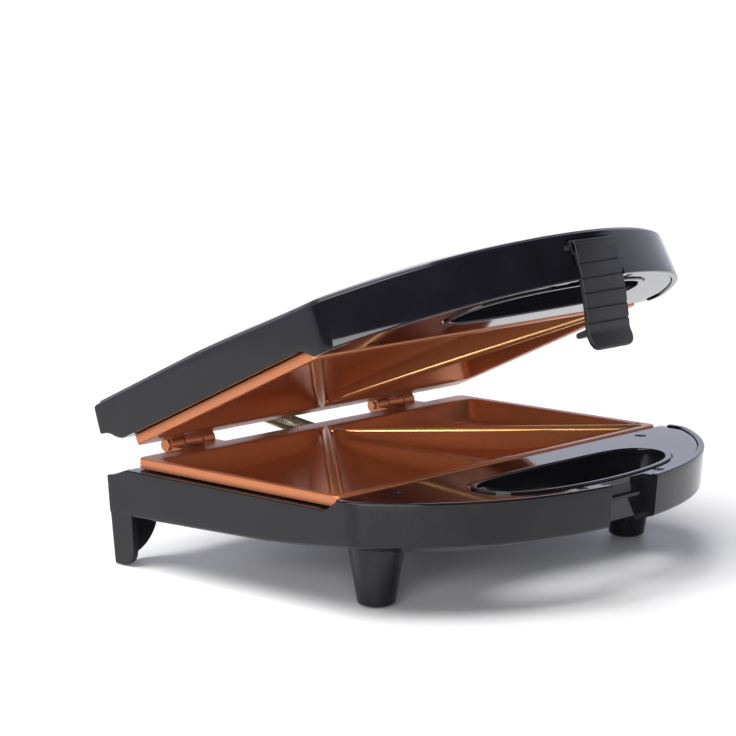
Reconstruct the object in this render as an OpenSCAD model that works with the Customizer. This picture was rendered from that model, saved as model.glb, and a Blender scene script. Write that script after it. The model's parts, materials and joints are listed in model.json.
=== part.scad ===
// Two-slice sandwich toaster with a hinged lid, copper-coloured cast plates and a front latch.
// Millimetres. X runs to the right as seen from the front, +Y to the rear, +Z up.
// Everything is drawn with y = 0 at the rear edge of the plates and z = 0 on the table,
// the lid closed, and then opened about the hinge axis and shifted to the row's origin.

/* [Cooking plates] */
// Width of a cooking plate
plate_w = 225; // [200:1:240]
// Depth of a cooking plate, front to rear
plate_d = 125; // [110:1:135]
// Height of the plate's outer band
plate_band_h = 4.7; // [4:0.1:6]
// Plan radius of the plate's corners
plate_corner_r = 4; // [2:0.5:8]
// Flat land along the plate's rear edge, in front of the hinge lugs
rear_land = 11; // [7:0.5:14]
// Flat land along the plate's front and side edges
side_land = 4.5; // [3:0.5:8]
// Width of the flat-topped sealing ridges
ridge_w = 4; // [2.5:0.1:6]
// Depth of a sandwich pocket below the rim plane
pocket_depth = 11; // [8:0.5:13]
// How far a pocket's floor lies inside its mouth
pocket_draft = 8; // [5:0.5:10]
// Radius of a pocket's corners at its mouth
pocket_corner_r = 7; // [4:0.5:10]
// How far the middle divider lies below the rim plane
divider_drop = 3.4; // [1:0.2:5]
// Thickness of the casting under a pocket
casting_t = 2.6; // [2:0.1:3.5]
// Gap between the rim planes with the lid closed
closed_gap = 0.6; // [0.3:0.1:1.5]

/* [Stance] */
// Height of the lower plate's rim plane above the table
rim_z = 50.4; // [48:0.2:60]
// How far the lid is opened in the stored pose
lid_rest_angle = 24.8; // [10:0.1:40]
// Distance of the hinge axis behind the plates
hinge_y = 10.4; // [9.5:0.1:13]

/* [Housings] */
// Width of both housings at the rim plane
shell_w = 236.8; // [232:0.2:260]
// Distance from the plates' rear edge to the front of the housings
front_reach = 197; // [192:0.5:210]
// Distance from the plates' rear edge to the housings' rear wall
rear_reach = 14; // [13:0.5:18]
// Radius of the long front curve
front_arc_r = 150; // [140:1:170]
// Radius of the shoulders beside the front curve
shoulder_r = 90; // [80:1:100]
// Radius that softens the crease between side and shoulder
crease_r = 15; // [6:1:20]
// Plan radius of the rear corners
rear_corner_r = 7; // [4:0.5:10]
// Draft of the walls, in degrees
draft_angle = 5; // [2:0.5:7]
// Wall thickness of the housings
shell_t = 2.6; // [2:0.1:3.2]
// Thickness of the deck round the plates
deck_t = 2.2; // [1.8:0.1:3]
// Radius of the lower edge of the base
base_edge_r = 2; // [1:0.2:3]
// How much higher the lid's side wall is than its plate and heating need
lid_extra = 2.3; // [1.5:0.1:6]
// How much lower that wall is along the front
lid_nose_drop = 4.2; // [2:0.1:6]
// Rise of the lid's crowned top over its side wall
crown_h = 10; // [6:0.5:14]
// Drop of the base's deck below the rim plane
base_deck_drop = 5.3; // [5:0.1:7]
// Drop of the lid's deck from its rim plane
lid_deck_drop = 4.9; // [4.8:0.1:7]

/* [Front covers] */
// Width of the moulded rim in front of a cover
rim_w = 3; // [2:0.1:5]
// Thickness of a cover
cover_t = 2.4; // [1.8:0.1:3]
// Gap round a cover
cover_gap = 0.35; // [0.2:0.05:0.6]
// Half width of the finger slot
slot_half_w = 60; // [50:1:66]
// Distance from the plates' front edge to the middle of the slot's rear edge
slot_rear = 14; // [12:0.5:18]
// Distance from the front of the housings to the middle of the slot's front edge
slot_front = 12.5; // [12:0.5:16]
// Height of the raised lip round the slot
slot_lip_h = 0.8; // [0.4:0.1:1.2]
// Width of the raised lip round the slot
slot_lip_w = 2.2; // [1.5:0.1:3]
// Width of the fine groove outside the lip
slot_groove_w = 0.8; // [0.5:0.1:1.2]
// Head diameter of the small screws
small_head_d = 5.4; // [4.5:0.1:6]

/* [Latch] */
// Width of the latch strap
latch_w = 29; // [24:0.5:34]
// Thickness of the latch strap
latch_t = 2.4; // [2:0.1:3]
// Side clearance of the strap in its channels
latch_gap = 1.6; // [1:0.1:2.5]
// Depth of the channels behind the housings' front
channel_depth = 9; // [8:0.2:10]
// Diameter of the latch pin
latch_pin_d = 2.4; // [2:0.1:3]
// Width of the cross grooves on the strap
latch_groove_w = 0.9; // [0.5:0.1:1.4]

/* [Hinges] */
// Distance of each hinge from the middle
hinge_x = 70.5; // [60:0.5:80]
// Overall width of a hinge
hinge_w = 27; // [22:0.5:32]
// Width of the knuckle on the upper plate
knuckle_w = 11; // [8:0.5:13]
// Side play of the knuckle between the lugs
knuckle_play = 0.8; // [0.4:0.1:1.2]
// Radius of the hinge barrels
barrel_r = 4; // [3.4:0.1:4.4]
// Diameter of the hinge pins
hinge_pin_d = 4; // [3:0.1:4.6]

/* [Feet] */
// Distance of each front foot from the middle
foot_x = 89; // [80:1:95]
// Distance of the front feet from the plates' rear edge
foot_y = 125; // [115:1:130]
// Diameter of a front foot at the bottom
foot_d = 17; // [14:0.5:20]
// Diameter of a front foot at the top
foot_top_d = 25; // [20:0.5:27]
// How far the rubber pad stands out of the foot
pad_proud = 0.6; // [0.3:0.1:1.2]
// Wall thickness of the rear legs
leg_t = 3; // [2.4:0.1:4]
// Depth of the rear legs along the side
leg_depth = 15; // [12:0.5:20]
// Reach of the rear legs along the back
leg_reach = 26; // [20:0.5:32]

/* [Heating] */
// Diameter of the tubular heating elements
element_d = 6.2; // [5:0.1:7]
// Half width of the element's loop
element_half_w = 80; // [70:1:90]
// Corner radius of the element's loop
element_bend_r = 15; // [12:0.5:20]
// Thickness of the steel reflectors
reflector_t = 0.6; // [0.5:0.1:1]
// Thickness of the element clips
clip_t = 0.9; // [0.6:0.1:1.2]
// Gap between the clips and the reflector
tray_gap = 0.4; // [0.3:0.1:1.5]

/* [Wire conduit] */
// Diameter of the wound steel wire
conduit_wire_d = 0.9; // [0.8:0.05:1]
// Radius of the winding, to the middle of the wire
conduit_r = 3.7; // [3.3:0.1:4]
// Rise of one turn
conduit_pitch = 1.4; // [1.35:0.05:1.6]
// Slope of the conduit against the hinge axis
conduit_slope = 0.4; // [0.35:0.01:0.45]

/* [Hidden] */
eps = 0.01;
fit = 0.05;                                   // radial running clearance of pins
lid_rim_z = rim_z + closed_gap;
hinge_z = rim_z + closed_gap / 2;
draft = tan(draft_angle);
touch = 0.05;                                 // gap round the element in its clips
stack_h = pocket_depth + casting_t + element_d + 2 * touch + clip_t + tray_gap + reflector_t;
base_depth = stack_h + shell_t;
floor_z = rim_z - base_depth;
lid_wall_h = stack_h + lid_extra;
front_gap = 0.6;                              // gap between a plate and the cover in front of it
cover_drop = max(0, slot_lip_h + 0.1 - closed_gap / 2);
channel_hw = latch_w / 2 + latch_gap;
arc_steps = 14;
corner_steps = 5;

// plan outline: a long front arc, two shoulder arcs, softened creases, straight sides, rear corners
front_cy = front_arc_r - front_reach;
shoulder_x = 33.4;
shoulder_y = front_cy - sqrt(pow(front_arc_r - shoulder_r, 2) - pow(shoulder_x, 2));
front_turn = atan2(shoulder_y - front_cy, shoulder_x);

function arc(cx, cy, r, a0, a1, n) = [for (i = [0:n]) let (a = a0 + (a1 - a0) * i / n)
    [cx + r * cos(a), cy + r * sin(a)]];
function mirrored(pts) = [for (i = [len(pts) - 1:-1:0]) [-pts[i][0], pts[i][1]]];
// right half of the outline, from the front middle to the rear middle, inset by d
function half_outline(d) = let (
        hw = shell_w / 2 - d,
        rs = shoulder_r - d,
        rc = max(crease_r - d, 1),
        rr = max(rear_corner_r - d, 1),
        cx = hw - rc,
        cy = shoulder_y - sqrt(pow(rs - rc, 2) - pow(cx - shoulder_x, 2)),
        turn = atan2(cy - shoulder_y, cx - shoulder_x),
        rear = rear_reach - d)
    concat(
        arc(0, front_cy, front_arc_r - d, -90, front_turn, arc_steps),
        [for (p = arc(shoulder_x, shoulder_y, rs, front_turn, turn, arc_steps)) if (p[0] > 0) p],
        arc(cx, cy, rc, turn, 0, corner_steps),
        arc(hw - rr, rear - rr, rr, 0, 90, corner_steps));
function outline(d) = let (h = half_outline(d), m = mirrored(h))
    concat([for (i = [1:len(h) - 1]) if (norm(h[i] - h[i - 1]) > 1e-4) h[i]],
        [m[0]], [for (i = [1:len(m) - 1]) if (norm(m[i] - m[i - 1]) > 1e-4) m[i]]);

// closed skin through equal rings of points, each end fanned to its middle
function middle(r) = [for (k = [0:2]) [for (p = r) p[k]] * [for (p = r) 1] / len(r)];
function ring_normal(r) = let (c = middle(r), n = len(r), v = [for (i = [0:n - 1]) cross(r[i] - c, r[(i + 1) % n] - c)])
    [for (k = [0:2]) [for (q = v) q[k]] * [for (q = v) 1]];
module skin(given) {
    n = len(given[0]);
    m = len(given);
    along = ring_normal(given[0]) * (middle(given[1]) - middle(given[0]));
    rings = along > 0 ? given : [for (i = [m - 1:-1:0]) given[i]];
    points = concat([for (r = rings) each r], [middle(rings[0]), middle(rings[m - 1])]);
    sides = [for (j = [0:m - 2]) for (i = [0:n - 1]) each [
        [j * n + i, (j + 1) * n + (i + 1) % n, j * n + (i + 1) % n],
        [j * n + i, (j + 1) * n + i, (j + 1) * n + (i + 1) % n]]];
    ends = [for (i = [0:n - 1]) each [
        [n * m, i, (i + 1) % n],
        [n * m + 1, (m - 1) * n + (i + 1) % n, (m - 1) * n + i]]];
    polyhedron(points, concat(sides, ends), convexity = 8);
}

// finger slot: two parabolas closed by superelliptic ends
slot_rear_y = -plate_d - slot_rear;
slot_front_y = -front_reach + slot_front;
slot_bow = [24.5 * 1e-4, 55 * 1e-4];
slot_end_power = 5;
function slot_pts(grow, n = 48) = [for (i = [0:n - 1]) let (
        t = 360 * i / n,
        x0 = slot_half_w * cos(t),
        s = sign(sin(t)) * sqrt(1 - pow(abs(cos(t)), slot_end_power)),
        rear = slot_rear_y - slot_bow[0] * x0 * x0 + grow,
        front = slot_front_y + slot_bow[1] * x0 * x0 - grow)
    [x0 + grow * cos(t), (rear + front) / 2 + (rear - front) / 2 * s]];

// frames: a housing's own frame has its rim plane at z = 0 and the housing at z < 0
module base_frame() translate([0, 0, rim_z]) children();
module lid_closed() translate([0, 0, lid_rim_z]) mirror([0, 0, 1]) children();
module in_row() translate([0, row_shift, 0]) children();
module lid_open() in_row() translate([0, hinge_y, hinge_z]) rotate([-lid_rest_angle, 0, 0])
    translate([0, -hinge_y, -hinge_z]) children();

// ---------------------------------------------------------------- housings
function base_ring(d, z) = [for (p = outline(d)) [p[0], p[1], z]];
module base_outer() {
    straight = base_depth - base_edge_r;
    skin(concat([base_ring(0, eps)], [for (a = [0:30:90])
        base_ring(draft * straight + base_edge_r * (1 - cos(a)), -straight - base_edge_r * sin(a))]));
}
module base_cavity()
    skin([base_ring(shell_t + draft * (base_deck_drop + deck_t), -base_deck_drop - deck_t),
        base_ring(shell_t + draft * base_depth, -base_depth + shell_t)]);

function ease(t) = let (u = min(max(t, 0), 1)) u * u * (3 - 2 * u);
crown_run = 60;
nose_start = 60;
nose_run = 76;
function wall_top(y) = lid_wall_h - lid_nose_drop * ease((-y - nose_start) / nose_run);
function crown(d) = crown_h * (1 - pow(1 - min(d, crown_run) / crown_run, 2));
// the furthest points: the front beside the latch channel and the open lid's rear top edge
lid_edge = [[0, 1.8], [0.6, 0.6], [2, 0], [6, 0]];      // inset and drop of the rings round the lid's top
rear_extent = max([for (e = lid_edge) let (
        y = rear_reach - draft * lid_wall_h - e[0],
        z = lid_rim_z + lid_wall_h + crown(e[0]) - e[1])
    hinge_y + (y - hinge_y) * cos(lid_rest_angle) + (z - hinge_z) * sin(lid_rest_angle)]);
front_extent = sqrt(pow(front_arc_r, 2) - pow(channel_hw, 2)) - front_cy;
row_shift = (front_extent - rear_extent) / 2;
echo(row_shift = row_shift, hinge = [0, hinge_y + row_shift, hinge_z]);
// ring of the lid's top, d inside the wall's top edge; the offset t makes the inner face
function lid_ring(d, t, drop = 0) = [for (p = outline(draft * lid_wall_h + d + t))
    [p[0], p[1], -(wall_top(p[1]) + crown(d) - drop - t)]];
module lid_outer()
    skin(concat([base_ring(0, eps)],
        [for (e = lid_edge) lid_ring(e[0], 0, e[1])],
        [for (d = [13, 24, 38, 52]) lid_ring(d, 0)]));
module lid_cavity()
    skin(concat([base_ring(shell_t + draft * (lid_deck_drop + deck_t), -lid_deck_drop - deck_t)],
        [lid_ring(0, shell_t, 0.5)],
        [for (d = [6, 24, 48]) lid_ring(d, shell_t)]));

channel_y = -front_reach + channel_depth;
cover_screw_xy = [[86, -plate_d - 9.5], [27.5, -front_reach + 9.3]];
module each_side() for (s = [-1, 1]) scale([s, 1, 1]) children();
module column(xy, r, z0, z1) translate([xy[0], xy[1], z0]) cylinder(r = r, h = z1 - z0, $fn = 32);

// deck round the plate: everything above it goes, with a dip to the rear and a slant at the front
module deck_cut(deck_drop, rear_drop) {
    side = shell_w / 2 + 5;
    front = plate_d - 3;
    rotate([90, 0, 90]) translate([0, 0, -side]) linear_extrude(2 * side)
        polygon([[rear_reach + 5, 5], [rear_reach + 5, -rear_drop], [rear_reach, -rear_drop],
            [rear_reach - 4.7, -rear_drop + 1.1], [2.2, -deck_drop], [-front, -deck_drop],
            [-front - 7, 0], [-front - 7, 5]]);
}
module plate_opening(depth)
    translate([-plate_w / 2 + side_land, -plate_d + side_land, -depth])
        cube([plate_w - 2 * side_land, plate_d - 2 * side_land, depth + 5]);
module cover_area(inset, z0, z1) intersection() {
    translate([0, 0, z0]) linear_extrude(z1 - z0) polygon(outline(inset));
    translate([-shell_w, -plate_d - front_gap - 2 * front_reach, z0 - 1])
        cube([2 * shell_w, 2 * front_reach, z1 - z0 + 2]);
}
// what both housings share, given the depth of the deck, the dip at the rear and the full height
module housing_cuts(deck_drop, rear_drop, height) {
    deck_cut(deck_drop, rear_drop);
    plate_opening(deck_drop + deck_t + 1);
    translate([-plate_w / 2 - 0.6, -plate_d - front_gap, -deck_drop + 0.02]) cube([plate_w + 1.2, 10, deck_drop + 5]);
    cover_area(rim_w, -cover_drop - cover_t, 5);
    translate([0, 0, -height - 1]) linear_extrude(height + 6) polygon(slot_pts(0));
    each_side() for (xy = cover_screw_xy) column(xy, small_shank_d / 2 + 0.1, -cover_drop - cover_t - 8.4, 1);
}
module slot_column(height)
    translate([0, 0, -height]) linear_extrude(height) polygon(slot_pts(shell_t));
small_shank_d = 2.8;
module screw_columns(height) each_side() for (xy = cover_screw_xy)
    column(xy, 3.4, -height, 0);

// rear legs: the housing's own wall carried down to the table at the two rear corners
leg_front_y = rear_reach - draft * base_depth - leg_depth;
leg_side_r = 8;
leg_rear_r = 21;
module rear_legs() {
    skirt_d = draft * rim_z;
    intersection() {
        difference() {
            skin([base_ring(0.03 - draft * 2, 2), base_ring(0.03 + draft * (rim_z - 2), -rim_z + 2),
                base_ring(skirt_d + 1.2, -rim_z)]);
            skin([base_ring(leg_t - draft, 1), base_ring(leg_t + draft * (rim_z + 1), -rim_z - 1)]);
        }
        union() {
            // side flange, seen from the side: rounded at the bottom front
            rotate([90, 0, 90]) translate([0, 0, -shell_w]) linear_extrude(2 * shell_w) difference() {
                translate([leg_front_y, -rim_z]) square([leg_depth + 10, base_depth + floor_z - base_deck_drop - 4]);
                translate([leg_front_y, -rim_z]) corner_round(leg_side_r);
            }
            // rear flange, seen from behind: a quarter circle sweeps up to the housing
            each_side() translate([shell_w / 2 - skirt_d - leg_reach, rear_reach + 5, -rim_z])
                rotate([90, 0, 0]) linear_extrude(12) difference() {
                    translate([0, 2.6]) square([leg_reach + skirt_d + 5, floor_z + 2]);
                    translate([0, 2.6]) corner_round(leg_rear_r);
                }
        }
        translate([-shell_w, leg_front_y, -rim_z - 1]) cube([2 * shell_w, 100, floor_z + shell_t]);
        each_side() translate([shell_w / 2 - skirt_d - leg_reach, leg_front_y, -rim_z - 1])
            cube([shell_w, 100, rim_z]);
    }
}
module corner_round(r) difference() {
    translate([-1, -1]) square(r + 1);
    translate([r, r]) circle(r, $fn = 48);
}

// latch channel in the base: a recess behind the front, a catch ledge and the wall the hook holds
ledge_down = 7.2;
ledge_reach = 2.4;
catch_up = 2.8;
catch_lean = 5.6;
module base_channel() {
    mouth = -front_reach - 5;
    ledge_y = channel_y - ledge_reach;
    catch_y = ledge_y + catch_lean;
    rotate([90, 0, 90]) translate([0, 0, -channel_hw]) linear_extrude(2 * channel_hw)
        polygon([[mouth, 5], [channel_y, 5], [channel_y, -ledge_down], [ledge_y, -ledge_down],
            [ledge_y, -ledge_down - 1.6], [ledge_y + 1.2, -ledge_down - 2.2],
            [catch_y, catch_up - base_depth], [catch_y + hook_reach_in + 0.8, catch_up - base_depth],
            [catch_y + hook_reach_in + 0.8, -base_depth - 5], [mouth, -base_depth - 5]]);
}
hook_reach_in = 4.4;
base_screw_xy = [[plate_w / 2 - 16.5, -rear_land - 5], [plate_w / 2 - 16.5, -plate_d + 16]];
base_screw_head_d = 7;
base_screw_d = 3.6;
inlet_xz = [62, floor_z + 8];
inlet_r = 3.2;
inlet_body_r = 5;
boss_h = 5;
boss_end = pocket_depth + casting_t + boss_h;  // depth of the plate's bosses below its rim plane
plate_boss_r = 4.4;

module base_shell() color([0.05, 0.05, 0.055]) in_row() base_frame() {
    difference() {
        base_outer();
        difference() {
            base_cavity();
            slot_column(base_depth);
            screw_columns(base_depth);
            translate([-channel_hw - shell_t, -front_reach, -base_depth])
                cube([2 * (channel_hw + shell_t), channel_depth + 9, base_depth]);
            each_side() for (xy = base_screw_xy) column(xy, 5, -base_depth, -boss_end);
            translate([0, 0, -rim_z]) along_conduit(conduit_base) translate([0, 0, -bush_h - 2])
                cylinder(r = bush_r + 2.6, h = bush_h + 10, $fn = 40);
            translate([inlet_xz[0] - 9, rear_reach - shell_t - 6, -base_depth]) cube([18, 10, base_depth]);
        }
        housing_cuts(base_deck_drop, 9.3, base_depth);
        base_channel();
        each_side() for (xy = base_screw_xy) {
            column(xy, base_screw_d / 2 + fit, -base_depth - 1, 0);
            column(xy, base_screw_head_d / 2 + 0.2, -base_depth - 1, -base_depth + 3.2);
        }
        // the inlet's hole and the tilted seat of the conduit's bush
        translate([inlet_xz[0], rear_reach + 5, inlet_xz[1] - rim_z]) rotate([90, 0, 0])
            cylinder(r = inlet_body_r + fit, h = 30, $fn = 40);
        translate([0, 0, -rim_z]) along_conduit(conduit_base) {
            translate([0, 0, -bush_h]) cylinder(r = bush_r + fit, h = bush_h + 30, $fn = 40);
            translate([0, 0, -bush_h - 12]) cylinder(r = bush_bore_r, h = 14, $fn = 32);
        }
    }
    rear_legs();
}

module cover() {
    translate([0, 0, -cover_drop]) difference() {
        union() {
            cover_area(rim_w + cover_gap, -cover_t, 0);
            linear_extrude(slot_lip_h) polygon(slot_pts(slot_lip_w));
        }
        translate([0, 0, -cover_t - 1]) linear_extrude(cover_t + 5) polygon(slot_pts(0));
        translate([0, 0, -slot_groove_w]) linear_extrude(5) difference() {
            polygon(slot_pts(slot_lip_w + slot_groove_w));
            polygon(slot_pts(slot_lip_w));
        }
        each_side() for (xy = cover_screw_xy) {
            column(xy, small_head_d / 2 + 0.2, -1.2, 2);
            column(xy, small_shank_d / 2 + 0.2, -cover_t - 1, 2);
        }
        translate([-channel_hw, -front_reach - 5, -5]) cube([2 * channel_hw, channel_depth + 5, 10]);
    }
}
module cover_screws() translate([0, 0, -cover_drop]) each_side() for (xy = cover_screw_xy) difference() {
    union() {
        column(xy, small_head_d / 2, -1.2, -0.3);
        column(xy, small_shank_d / 2, -cover_t - 8, -1.2);
    }
    translate([xy[0], xy[1], -0.3]) for (a = [45, 135]) rotate([0, 0, a])
        cube([small_head_d * 0.7, 0.8, 1], center = true);
}
module base_cover() color([0.06, 0.06, 0.07]) in_row() base_frame() cover();
module base_cover_screws() color("dimgray") in_row() base_frame() cover_screws();
module base_screws() color("silver") in_row() each_side() for (xy = base_screw_xy) {
    column(xy, base_screw_head_d / 2, floor_z + 0.8, floor_z + 3.2);
    column(xy, base_screw_d / 2, floor_z + 3.2, rim_z - boss_end + 5.8);
}

// ---------------------------------------------------------------- cooking plates
// a pocket is a rounded triangle, drafted down to a floor that rises towards its sharp corners
function incentre(t) = let (a = norm(t[1] - t[2]), b = norm(t[2] - t[0]), c = norm(t[0] - t[1]))
    (a * t[0] + b * t[1] + c * t[2]) / (a + b + c);
function inradius(t) = let (a = norm(t[1] - t[2]), b = norm(t[2] - t[0]), c = norm(t[0] - t[1]))
    abs((t[1] - t[0])[0] * (t[2] - t[0])[1] - (t[1] - t[0])[1] * (t[2] - t[0])[0]) / (a + b + c);
function shrunk(t, d) = let (o = incentre(t), k = 1 - d / inradius(t)) [for (p = t) o + k * (p - o)];
function heading(v) = atan2(v[1], v[0]);
// counter-clockwise triangle with corners rounded by r
function round_triangle(t, r, n = 6) = let (c = shrunk(t, r)) [for (i = [0:2]) let (
        a0 = heading(t[i] - t[(i + 2) % 3]) - 90,
        a1 = heading(t[(i + 1) % 3] - t[i]) - 90,
        turn = (a1 - a0 + 720) % 360)
    each [for (j = [0:n]) c[i] + r * [cos(a0 + turn * j / n), sin(a0 + turn * j / n)]]];
function floor_depth(p, t) = let (o = incentre(t), far = norm(p - o) / inradius(t))
    pocket_depth * (1 - 0.16 * far);
module pocket(t) {
    mouth = round_triangle(t, pocket_corner_r);
    middle = round_triangle(shrunk(t, pocket_draft * 0.55), pocket_corner_r * 0.9);
    floor = round_triangle(shrunk(t, pocket_draft), pocket_corner_r * 0.8);
    skin([[for (p = floor) [p[0], p[1], -floor_depth(p, t)]],
        [for (p = middle) [p[0], p[1], -pocket_depth * 0.72]],
        [for (p = mouth) [p[0], p[1], 0]],
        [for (p = mouth) [p[0], p[1], 5]]]);
}
pocket_rear = -rear_land;
pocket_front = -plate_d + side_land;
pocket_side = plate_w / 2 - side_land;
// unit vector across the diagonal ridge, from the rear middle to the front corner
ridge_run = [pocket_side, pocket_front - pocket_rear];
ridge_side = [-ridge_run[1], ridge_run[0]] / norm(ridge_run);
function line_at_x(p, v, x) = [x, p[1] + v[1] * (x - p[0]) / v[0]];
function line_at_y(p, v, y) = [p[0] + v[0] * (y - p[1]) / v[1], y];
divider_w = 3;
// right half: one pocket beside the divider, one along the rear and the side
function ridge_edge(s) = [0, pocket_rear] + s * ridge_w / 2 * ridge_side;
inner_triangle = [line_at_x(ridge_edge(-1), ridge_run, divider_w / 2),
    [divider_w / 2, pocket_front], line_at_y(ridge_edge(-1), ridge_run, pocket_front)];
outer_triangle = [line_at_y(ridge_edge(1), ridge_run, pocket_rear),
    line_at_x(ridge_edge(1), ridge_run, pocket_side), [pocket_side, pocket_rear]];
module plate_pockets() each_side() {
    pocket(inner_triangle);
    pocket(outer_triangle);
}
module plate_casting(drilled = false) difference() {
    union() {
        // outer band with rounded corners
        translate([0, 0, -plate_band_h]) linear_extrude(plate_band_h) plate_plan(0, plate_corner_r);
        // bowl under each half
        each_side() skin([
            [for (p = bowl_plan(pocket_draft * 0.8)) [p[0], p[1], -pocket_depth - casting_t]],
            [for (p = bowl_plan(pocket_draft * 0.4)) [p[0], p[1], -pocket_depth * 0.72 - casting_t]],
            [for (p = bowl_plan(0)) [p[0], p[1], -plate_band_h + eps]]]);
        each_side() for (xy = base_screw_xy) column(xy, plate_boss_r, -boss_end, -pocket_depth);
    }
    plate_pockets();
    // the middle divider is lower than the rims, with sloping flanks
    skin([[for (p = [[-4.5, pocket_front + 5], [4.5, pocket_front + 5], [4.5, pocket_rear - 16], [-4.5, pocket_rear - 16]])
            [p[0], p[1], -divider_drop]],
        [for (p = [[-9, pocket_front], [9, pocket_front], [9, pocket_rear - 10], [-9, pocket_rear - 10]])
            [p[0], p[1], eps]]]);
    if (drilled) each_side() for (xy = base_screw_xy) column(xy, base_screw_d / 2 + fit, -boss_end - 1, -boss_end + 6);
}
module plate_plan(inset, r)
    polygon(concat(
        arc(plate_w / 2 - inset - r, -plate_d + inset + r, r, -90, 0, 4),
        arc(plate_w / 2 - inset - r, -inset - r, r, 0, 90, 4),
        arc(-plate_w / 2 + inset + r, -inset - r, r, 90, 180, 4),
        arc(-plate_w / 2 + inset + r, -plate_d + inset + r, r, 180, 270, 4)));
// plan of the bowl under the right half, inset by d
bowl_r = 9;
function bowl_plan(d) = let (
        x0 = eps + d * 0.3, x1 = pocket_side - 0.5 - d,
        y0 = pocket_front + 0.5 + d, y1 = pocket_rear - 0.5 - d)
    concat(
        arc(x1 - bowl_r, y0 + bowl_r, bowl_r, -90, 0, 4),
        arc(x1 - bowl_r, y1 - bowl_r, bowl_r, 0, 90, 4),
        [[x0, y1], [x0, y0]]);

lug_w = (hinge_w - knuckle_w) / 2 - knuckle_play;
hinge_axis_up = hinge_z - rim_z;
// arm and barrel of one lug, centred on x = 0
module lug(w, rise) {
    translate([-w / 2, -1, -plate_band_h]) cube([w, hinge_y + 1, plate_band_h]);
    translate([-w / 2, hinge_y, rise]) rotate([0, 90, 0]) cylinder(r = barrel_r, h = w, $fn = 48);
}
module pin_bore(r) each_side() translate([hinge_x - hinge_w, hinge_y, hinge_axis_up]) rotate([0, 90, 0])
    cylinder(r = r, h = 2 * hinge_w, $fn = 48);
module lower_plate() color([0.72, 0.38, 0.22]) in_row() base_frame() difference() {
    union() {
        plate_casting(true);
        each_side() for (s = [-1, 1]) translate([hinge_x + s * (hinge_w - lug_w) / 2, 0, 0])
            lug(lug_w, hinge_axis_up);
    }
    pin_bore(hinge_pin_d / 2 + fit);
}
module upper_plate() color([0.72, 0.38, 0.22]) lid_open() lid_closed() difference() {
    union() {
        plate_casting();
        each_side() translate([hinge_x, 0, 0]) lug(knuckle_w, hinge_axis_up);
    }
    pin_bore(hinge_pin_d / 2 + fit);
}
module hinge_pin(s) color("silver") in_row() scale([s, 1, 1]) translate([hinge_x + hinge_w / 2, hinge_y, hinge_z])
    rotate([0, 90, 0]) {
        cylinder(r = hinge_pin_d / 2 + 0.8, h = 1.3, $fn = 48);
        translate([0, 0, -hinge_w - 1.2]) cylinder(r = hinge_pin_d / 2, h = hinge_w + 1.3, $fn = 48);
    }

// ---------------------------------------------------------------- heating, in a housing's frame
element_z = -pocket_depth - casting_t - element_d / 2 - touch;
element_rear = -24;
element_front = -plate_d + 22;
terminal_x = 20;
module quarter_bend(x, y, a) translate([x, y, element_z]) rotate([0, 0, a])
    rotate_extrude(angle = 90, $fn = 48) translate([element_bend_r, 0]) circle(element_d / 2, $fn = 20);
module rod(p, q, r) let (v = q - p) translate(p) rotate([0, acos(v[2] / norm(v)), atan2(v[1], v[0])])
    cylinder(r = r, h = norm(v), $fn = 20);
module element() each_side() {
    bx = element_half_w - element_bend_r;
    rod([terminal_x, element_rear, element_z], [bx, element_rear, element_z], element_d / 2);
    quarter_bend(bx, element_rear - element_bend_r, 0);
    rod([element_half_w, element_rear - element_bend_r, element_z],
        [element_half_w, element_front + element_bend_r, element_z], element_d / 2);
    quarter_bend(bx, element_front + element_bend_r, -90);
    rod([bx, element_front, element_z], [0, element_front, element_z], element_d / 2);
    // cold pin of the terminal
    rod([terminal_x - 9, element_rear, element_z], [terminal_x, element_rear, element_z], 1.4);
}
// saddle clips hold the element against the casting
clip_w = 9;
module saddle(x, y, a) translate([x, y, 0]) rotate([0, 0, a]) {
    r = element_d / 2 + touch;
    under = -pocket_depth - casting_t;
    difference() {
        union() {
            translate([-clip_w / 2, 0, element_z]) rotate([0, 90, 0]) cylinder(r = r + clip_t, h = clip_w, $fn = 32);
            translate([-clip_w / 2, -r - clip_t, element_z]) cube([clip_w, 2 * (r + clip_t), under - element_z]);
            translate([-clip_w / 2, -r - 7, under - clip_t]) cube([clip_w, 2 * r + 14, clip_t]);
        }
        translate([-clip_w, 0, element_z]) rotate([0, 90, 0]) cylinder(r = r, h = 2 * clip_w, $fn = 32);
        translate([-clip_w, -r, element_z]) cube([2 * clip_w, 2 * r, 20]);
    }
}
module element_clips() each_side() {
    saddle(element_half_w / 2, element_rear, 0);
    saddle(element_half_w / 2, element_front, 0);
}
// reflector: a shallow steel tray with upturned rims
tray_half_w = plate_w / 2 - 22.5;
tray_rim_h = 2.2;
tray_front = 12;
module reflector(z) difference() {
    translate([-tray_half_w, -plate_d + tray_front, z]) cube([2 * tray_half_w, plate_d - tray_front - 16, tray_rim_h]);
    translate([-tray_half_w + reflector_t, -plate_d + tray_front + reflector_t, z + reflector_t])
        cube([2 * (tray_half_w - reflector_t), plate_d - tray_front - 16 - 2 * reflector_t, tray_rim_h]);
    for (x = [-60:30:60]) translate([x, -plate_d / 2, z - 1]) cylinder(r = 4, h = 5, $fn = 24);
}
module lower_element() color([0.45, 0.42, 0.4]) in_row() base_frame() element();
module lower_element_clips() color("silver") in_row() base_frame() element_clips();
module lower_reflector() color("lightgray") in_row() base_frame() reflector(-stack_h);
module upper_element() color([0.45, 0.42, 0.4]) lid_open() lid_closed() element();
module upper_element_clips() color("silver") lid_open() lid_closed() element_clips();
module upper_reflector() color("lightgray") lid_open() lid_closed()
    reflector(-stack_h);
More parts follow.
